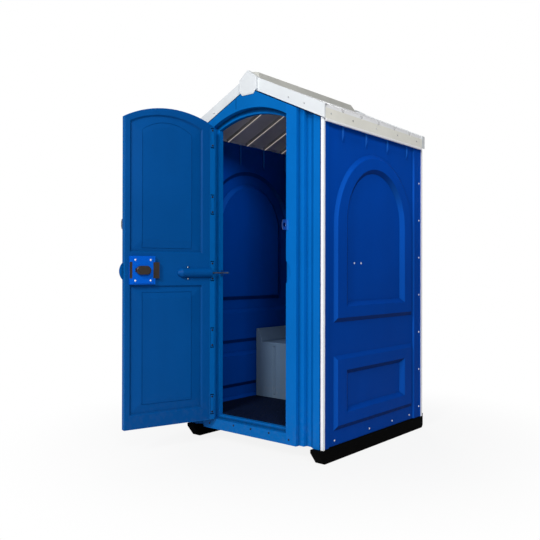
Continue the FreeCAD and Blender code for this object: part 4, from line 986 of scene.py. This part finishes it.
@dataclass
class Fasteners:
    """Heads of one kind, set on the part by a geometry tree, in place of a node's plain domes.

    The outlines are shares of a head's radius and height.
    """

    node: str
    body: Body
    head: Head
    finish: Finish
    radius: float = 0.006
    height: float = 0.0025
    seed: int = 7
    sides: int = 20
    other: Finish | None = None
    is_other: Callable[[Vector], bool] = lambda foot: False
    dome_turns: tuple[float, ...] = (0.0, 0.35, 0.7, 1.0, 1.25)
    dome_foot: float = 0.15
    bore: tuple[Range, ...] = ((0.26, 0.97), (0.2, 0.72), (0.0, 0.72))
    screw: tuple[Range, ...] = ((0.0, 0.0), (1.0, 0.0), (1.0, 0.45), (0.86, 0.8), (0.6, 1.0), (0.0, 1.0))
    bar: Point = (1.1, 0.2, 0.2)
    bar_level: float = 0.92

    def outline(self) -> list[Range]:
        """Half the section of a head, from the axis round the outside and back to the axis.

        Returns:
            Shares of the radius and of the height.
        """
        if self.head is not Head.RIVET:
            return list(self.screw)
        rise = 1 - self.dome_foot
        dome = [(math.cos(turn), self.dome_foot + rise * math.sin(turn)) for turn in self.dome_turns]
        return [(0.0, 0.0), (1.0, 0.0), *dome, *self.bore]

    def head_shape(self) -> Piece:
        """One head that stands on the origin along Z.

        Returns:
            The object that the tree copies.
        """
        mesh = bmesh.new()
        line = [mesh.verts.new((self.radius * out, 0.0, self.height * up)) for out, up in self.outline()]
        edges = [mesh.edges.new(pair) for pair in zip(line, line[1:])]
        bmesh.ops.spin(mesh, geom=line + edges, cent=(0, 0, 0), axis=UPRIGHT, angle=FULL_TURN,
                       steps=HEX_SIDES if self.head is Head.HEX else self.sides)
        bmesh.ops.remove_doubles(mesh, verts=mesh.verts, dist=MERGE)
        if self.head is Head.CROSS:
            length, width, depth = self.bar
            size = (self.radius * length, self.radius * width, self.height * depth, 1.0)
            for angle in (0.0, FULL_TURN / 4):
                turn = Matrix.Rotation(angle, 4, "Z") @ Matrix.Diagonal(size)
                place = Matrix.Translation((0, 0, self.height * self.bar_level))
                bmesh.ops.create_cube(mesh, size=1.0, matrix=place @ turn)
        return to_object(closed_mesh(mesh, self.finish), self.node + "_head")

    def build(self) -> None:
        """Makes the heads as one plain mesh, each turned along its point's direction."""
        spots = islands(self.node)
        points = point_mesh(self.node + "_points", (foot for foot, _ in spots))
        stand = points.attributes.new("stand", "FLOAT_VECTOR", "POINT")
        chosen = points.attributes.new("other", "BOOLEAN", "POINT")
        for place, (foot, direction) in enumerate(spots):
            stand.data[place].vector = direction
            chosen.data[place].value = self.is_other(foot)
        tree = Tree("set " + self.node, {"Head": "Object", "Seed": "Int", "Other finish": "Material"})
        shape = tree.node("GeometryNodeObjectInfo", {"Object": tree.given("Head")})
        align = tree.node("FunctionNodeAlignRotationToVector",
                          {"Vector": tree.attribute("stand", "FLOAT_VECTOR")}, axis="Z")
        spin = tree.node("FunctionNodeRandomValue", {3: FULL_TURN, "Seed": tree.given("Seed")},
                         data_type="FLOAT")
        about = tree.node("FunctionNodeAxisAngleToRotation", {"Axis": UPRIGHT, "Angle": spin.outputs[1]})
        turn = tree.node("FunctionNodeRotateRotation", {0: align.outputs[0], 1: about.outputs[0]},
                         rotation_space="LOCAL")
        heads = tree.copies({"Instance": shape.outputs["Geometry"], "Rotation": turn.outputs[0]})
        heads = tree.painted(heads, {"Selection": tree.attribute("other", "BOOLEAN"),
                                     "Material": tree.given("Other finish")})
        head = self.head_shape()
        piece = tree.run(heads, self.node + "_heads", points, {
            "Head": head, "Seed": self.seed, "Finish": self.finish.material(),
            "Other finish": (self.other or self.finish).material()})
        bpy.data.objects.remove(head)
        attach(piece, self.body, self.node, instead=True)


@dataclass
class Tread:
    """Raised anti-slip studs on the floor in front of the tank, set by a geometry tree."""

    half_width: float = 0.505
    front: float = -0.52
    back: float = 0.035
    pitch: float = 0.024
    radius: float = 0.0062
    top_share: float = 0.7
    height: float = 0.0016
    sides: int = 10
    sunk: float = 0.0001

    def build(self) -> None:
        """Makes the studs as one plain mesh, in rows that are shifted by half a pitch in turn."""
        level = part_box("floor_pan")[1][2] - self.sunk
        rows = int((self.back - self.front) / self.pitch)
        columns = int(self.half_width / self.pitch)
        spots = [(column * self.pitch + row % 2 * self.pitch / 2, self.front + row * self.pitch, level)
                 for row in range(rows + 1) for column in range(-columns, columns)]
        tree = Tree("set studs", {"Radius": "Float", "Height": "Float"})
        radius = Value(tree, tree.given("Radius"))
        stud = tree.node("GeometryNodeMeshCone", {
            "Vertices": self.sides, "Radius Top": radius * self.top_share, "Radius Bottom": radius,
            "Depth": tree.given("Height")}, fill_type="NGON")
        studs = tree.copies({"Instance": stud.outputs["Mesh"]})
        piece = tree.run(studs, "floor_studs", point_mesh("stud_points", spots), {
            "Radius": self.radius, "Height": self.height, "Finish": FLOOR.material()})
        attach(piece, Body.CABIN, "floor_pan")


@dataclass
class Shell:
    """Skids, floor, walls, front frame and corner strips."""

    sill_rivet_front: float = -0.6
    front_face: float = -0.616
    seam_side: float = -0.098
    seam_foot: float = 2.094
    seam_head: float = 2.166
    seam_radius: float = 0.0013

    def dress(self) -> None:
        """Puts the finishes on."""
        dress(SKID, *both("skid"), edge=0.004)
        dress(WALL, *both("side_wall"), "back_wall", edge=0.003)
        dress(FRONT, *both("front_panel"), edge=0.002)
        dress(HEADER, "door_header", "door_sill", edge=0.002)
        dress(FLOOR, "floor_pan", edge=0.002)
        dress(STRIP, *both("corner_strip_front"), *both("corner_strip_back"))

    def build(self) -> None:
        """Adds the rivets, the floor's studs and the parting seam left of the gable's middle."""
        Fasteners("wall_rivets", Body.CABIN, Head.RIVET, ALUMINIUM, other=DARK_STEEL,
                  is_other=lambda foot: foot.y < self.sill_rivet_front).build()
        Tread().build()
        line = [(self.seam_side, self.front_face, height) for height in (self.seam_foot, self.seam_head)]
        attach(rail("header_seam", line, self.seam_radius, JOINT_AND_SHADE_DARK), Body.CABIN, "door_header")


@dataclass(frozen=True)
class VergeBead:
    """A bead that runs down under both verges of one end of the roof."""

    suffix: str
    finish: Finish
    radius: float
    height: float
    start: float
    stop: float

    def build(self, end: str, face: float) -> None:
        """Adds the bead on the right and on the left.

        Args:
            end: Which end of the roof.
            face: Where the bead lies from front to back.
        """
        for side, sign in (("right", 1.0), ("left", -1.0)):
            verge = f"verge_{end}_{side}"
            line = [(sign * x, face, self.height - ROOF_SLOPE * x) for x in (self.start, self.stop)]
            attach(rail(f"{verge}_{self.suffix}", line, self.radius, self.finish), Body.CABIN, verge)


@dataclass
class Roof:
    """Roof sheets, ridge vent, verges, fascias and caps."""

    face: float = 0.6
    shade_line_face: float = -0.6155
    lip: VergeBead = VergeBead("lip", WHITE, radius=0.0032, height=2.217, start=0.072, stop=0.559)
    # Dark bead under the front verges: a painted shadow line on the header.
    seal: VergeBead = VergeBead("seal", JOINT_AND_SHADE_DARK, radius=0.0025, height=2.2108, start=0.06, stop=0.538)
    cap_face: float = -0.617
    cap_border: float = 0.009
    cap_middle: float = 2.235
    cap_line: tuple[Range, ...] = ((0.045, 2.167), (0.069, 2.195), (0.069, 2.266), (0.0, 2.317))
    cap_bead_radius: float = 0.0016

    def dress(self) -> None:
        """Puts the finishes on."""
        dress(ROOF, *both("roof_panel"), edge=0.0012)
        dress(BEIGE, *both("eave_fascia"))
        dress(VENT, "ridge_vent", edge=0.0018)
        dress(WHITE, *both("verge_front"), *both("verge_back"), "ridge_cap_front", "ridge_cap_back",
              edge=0.0018)
        dress(WHITE, "rain_cap", edge=0.002)
        dress(WHITE, "pipe_flashing")

    def cap_bead(self) -> None:
        """Adds the raised outline on the face of the front ridge cap."""
        middle = Vector((0.0, self.cap_middle))
        half = []
        for corner in map(Vector, self.cap_line):
            x, z = corner + (middle - corner).normalized() * self.cap_border
            half.append((x, self.cap_face, z))
        left = [(-x, y, z) for x, y, z in reversed(half[:-1])]
        piece = rail("ridge_cap_front_bead", half + left, self.cap_bead_radius, WHITE, closed=True)
        attach(piece, Body.CABIN, "ridge_cap_front")

    def build(self) -> None:
        """Adds the verges' rolled lower lips, dark beads under the front verges as painted shadow lines, the cap's
        bead and the screws.
        """
        self.lip.build("front", -self.face)
        self.lip.build("back", self.face)
        # Painted shadow lines under the front verges.
        self.seal.build("front", self.shade_line_face)
        self.cap_bead()
        Fasteners("roof_screws", Body.CABIN, Head.HEX, STEEL, radius=0.005).build()


@dataclass
class Door:
    """Door leaf with its hinges, lock, closer and padlock eyes."""

    lining_face: float = 0.04
    field_face: float = 0.039
    sunk: float = 0.0001
    shade_outline_size: Point = (0.0256, 0.0008, 0.127)
    shade_outline_edge: float = 0.00015
    bead_radius: float = 0.002
    bevel_fall: float = 0.103
    lower_bead_reach: Range = (0.017, 0.036)
    upper_bead_reach: Range = (0.05, 0.03)

    def dress(self) -> None:
        """Puts the finishes on."""
        low, high = map(Vector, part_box("indicator_flag"))
        divide = Plane(tuple(ACROSS), ((low + high) / 2).dot(ACROSS))
        dress(TwoField("indicator plate", divide), "indicator_flag", edge=0.0)
        dress(DOOR_OUT, "door_outer_skin", edge=0.0018)
        dress(DOOR_IN, "door_inner_skin", edge=0.0018)
        # Painted shade: dark knuckles for the shadow beside the hinge plates.
        dress(HINGE_SHADE_BLUE, "hinge_frame_knuckles", "hinge_door_knuckles")
        dress(DOOR_OUT, "hinge_backing_plates", edge=0.0006)
        dress(DARK_STEEL, "hinge_pins", edge=0.0004)
        dress(LOCK_BLUE, "lock_base")
        dress(LOCK_BLUE, "lock_cover", edge=0.0008)
        dress(BROWN, "lock_bolt", edge=0.0012)
        dress(BROWN, "lock_knob", "indicator_bezel")
        dress(DOOR_IN, "closer_housing", edge=0.0015)
        dress(STEEL, "closer_tube", edge=0.0)
        dress(ROD_STEEL, "closer_rod", edge=0.0003)
        dress(BLUE_STEEL, "closer_anchor")
        dress(DOOR_EYE, "door_eye")
        dress(FRAME_EYE, "frame_eye")

    def shade_outlines(self) -> None:
        """Adds thin dark blocks round the hinges' plates: painted shade for the shadow gap there."""
        # Painted shade: dark blocks where the shadow gap round each hinge plate shows.
        mesh = bmesh.new()
        turn = ACROSS.to_track_quat("X", "Z").to_matrix().to_4x4()
        size = Matrix.Diagonal((*self.shade_outline_size, 1.0))
        for foot, _ in islands("hinge_backing_plates"):
            depth = self.lining_face + self.shade_outline_size[1] / 2 - self.sunk
            middle = foot + INWARD * (depth - (foot - HINGE).dot(INWARD))
            bmesh.ops.create_cube(mesh, size=1.0, matrix=Matrix.Translation(middle) @ turn @ size)
        bmesh.ops.bevel(mesh, geom=mesh.edges, offset=self.shade_outline_edge, segments=1, affect="EDGES")
        piece = to_object(closed_mesh(mesh, JOINT_AND_SHADE_DARK), "hinge_plate_seals")
        attach(piece, Body.DOOR, "hinge_backing_plates")

    def moved(self, corner: Vector, shift: float) -> Vector:
        """A corner of a field moved up, or down, over the bevel, staying on its surface."""
        return corner + Vector((0.0, 0.0, shift)) - INWARD * abs(shift) * self.bevel_fall

    def bead(self, name: str, outline: list[Vector], reach: Range) -> None:
        """Adds a darker bead round one raised field of the door's lining: a painted shade line at its edge.

        Args:
            name: Name of the piece.
            outline: Corners of the field.
            reach: How far the bead lies below the field's foot and above its head, in metres.
        """
        down, up = reach
        heights = [spot.z for spot in outline]
        middle = (min(heights) + max(heights)) / 2
        start = next(place for place in range(len(heights))
                     if heights[place] < middle < heights[place - 1])
        line = outline[start:] + outline[:start]
        foot, head = line[:2], line[2:]
        path = [foot[0], *(self.moved(spot, -down) for spot in foot), foot[1],
                head[0], *(self.moved(spot, up) for spot in head), head[-1]]
        # Painted shade line: a darker bead round the field.
        attach(rail(name, path, self.bead_radius, FIELD_SHADE_LINE, closed=True), Body.DOOR, "door_inner_skin")

    def build(self) -> None:
        """Adds the dark outlines round the hinge plates and the darker beads round the fields, both painted shade,
        and the fastener heads.
        """
        self.shade_outlines()
        fields = flat_outlines("door_inner_skin", HINGE, INWARD, self.field_face)
        lower, upper = sorted(fields, key=lambda outline: outline[0].z)
        self.bead("door_lower_bead", lower, self.lower_bead_reach)
        self.bead("door_upper_bead", upper, self.upper_bead_reach)
        Fasteners("lock_rivets", Body.DOOR, Head.RIVET, ALUMINIUM).build()
        Fasteners("closer_screws", Body.DOOR, Head.CROSS, BRIGHT, radius=0.005).build()
        Fasteners("hinge_screws", Body.DOOR, Head.CROSS, DARK_STEEL, radius=0.0065,
                  height=0.0016).build()


@dataclass
class Room:
    """Tank, seat, lid, vent pipe and paper holder."""

    def dress(self) -> None:
        """Puts the finishes on."""
        dress(TANK, "waste_tank", edge=0.006)
        dress(TANK, "pipe_collar", edge=0.002)
        dress(BLACK, "seat_ring", edge=0.005)
        dress(BLACK, "seat_lid", edge=0.004)
        dress(STEEL, "seat_hinge_pin", edge=0.0)
        dress(BLACK, "vent_pipe", edge=0.0008)
        dress(BLACK, "paper_holder", "paper_spindle")
        dress(PAPER, "paper_roll")

    def build(self) -> None:
        """Adds nothing: all that the room holds is solid."""


@dataclass(frozen=True)
class Lamp:
    """A square soft light: where it hangs, what it points at, its side and its power in watts."""

    name: str
    place: Point
    aim: Point
    side: float
    power: float

    def build(self) -> None:
        """Hangs the light."""
        data = bpy.data.lights.new(self.name, "AREA")
        data.size = self.side
        data.energy = self.power
        lamp = new_object(self.name, data)
        lamp.location = self.place
        lamp.rotation_euler = (Vector(self.aim) - lamp.location).to_track_quat("-Z", "Y").to_euler()


@dataclass
class Studio:
    """Pale floor, soft lights and the photograph's camera."""

    eye: Point = (2.6729, -3.5654, 1.0832)
    yaw: float = 40.2
    pitch: float = 0.2
    roll: float = 0.1
    lens: float = 43.5
    sensor: float = 36.0
    lamps: tuple[Lamp, ...] = (
        Lamp("key", place=(2.3, -12.0, 8.0), aim=(0.0, 0.0, 1.2), side=2.6, power=1000.0),
        Lamp("fill", place=(5.5, -5.3, 4.9), aim=(0.2, 0.0, 1.2), side=2.2, power=292.0),
        Lamp("back", place=(-5.6, 6.4, 4.2), aim=(0.0, 0.0, 1.2), side=3.0, power=300.0),
    )
    sky: float = 0.18
    floor_reach: float = 60.0
    floor_colour: Colour = (0.62, 0.62, 0.62)
    near_white: float = 0.88
    clear: Range = (0.7, 2.2)

    def camera(self) -> None:
        """Sets the camera up."""
        data = bpy.data.cameras.new("camera")
        data.sensor_width = self.sensor
        data.lens = self.lens
        data.dof.use_dof = False
        camera = new_object("camera", data)
        yaw, pitch = math.radians(self.yaw), math.radians(self.pitch)
        level = math.cos(pitch)
        ahead = Vector((-math.sin(yaw) * level, math.cos(yaw) * level, math.sin(pitch)))
        roll = Matrix.Rotation(math.radians(self.roll), 3, "Z")
        camera.location = self.eye
        camera.rotation_euler = (ahead.to_track_quat("-Z", "Y").to_matrix() @ roll).to_euler()
        bpy.context.scene.camera = camera

    def white_to_camera(self, graph: Graph, share: Operand, plain: bpy.types.Node,
                        white: bpy.types.Node) -> Socket:
        """Shows a share of white to the camera, and a plain shader to everything else."""
        seen = Value(graph, graph.node("ShaderNodeLightPath", {}).outputs["Is Camera Ray"])
        return graph.node("ShaderNodeMixShader", {0: seen * share, 1: plain.outputs[0],
                                                  2: white.outputs[0]}).outputs[0]

    def world(self) -> None:
        """White where the camera looks past the object, and a plain level for its light."""
        world = bpy.data.worlds.new("studio")
        world.use_nodes = True
        bpy.context.scene.world = world
        graph = Graph(world.node_tree)
        level = graph.node("ShaderNodeBackground", {"Color": FULL_WHITE, "Strength": self.sky})
        white = graph.node("ShaderNodeBackground", {"Color": FULL_WHITE, "Strength": 1.0})
        mixed = self.white_to_camera(graph, 1.0, level, white)
        graph.node("ShaderNodeOutputWorld", {"Surface": mixed})

    def floor(self) -> None:
        """Pale floor that stays white to the camera but takes a faint shadow."""
        mesh = bmesh.new()
        bmesh.ops.create_grid(mesh, x_segments=1, y_segments=1, size=self.floor_reach)
        data = bpy.data.meshes.new("studio_floor")
        mesh.to_mesh(data)
        mesh.free()
        material = bpy.data.materials.new("studio floor")
        material.use_nodes = True
        graph = Graph(material.node_tree)
        matt = graph.node("ShaderNodeBsdfDiffuse", {"Color": self.floor_colour})
        white = graph.node("ShaderNodeEmission", {"Color": FULL_WHITE, "Strength": 1.0})
        across, along, _ = graph.position
        far = across.diagonal(along).rise(*self.clear)
        share = far * (1 - self.near_white) + self.near_white
        mixed = self.white_to_camera(graph, share, matt, white)
        graph.node("ShaderNodeOutputMaterial", {"Surface": mixed})
        data.materials.append(material)
        new_object("studio_floor", data)

    def build(self) -> None:
        """Sets the whole studio up."""
        self.world()
        self.floor()
        for lamp in self.lamps:
            lamp.build()
        self.camera()
        bpy.context.scene.view_settings.view_transform = "Standard"
        log.info("studio is set")


def main() -> None:
    """Builds and dresses the sub-assemblies in order."""
    logging.basicConfig(level=logging.INFO, format="%(name)s: %(message)s")
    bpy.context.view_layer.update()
    for part in (Shell(), Roof(), Door(), Room()):
        part.dress()
        part.build()
        log.info("finished %s", type(part).__name__)
    Studio().build()


if __name__ == "__main__":
    main()
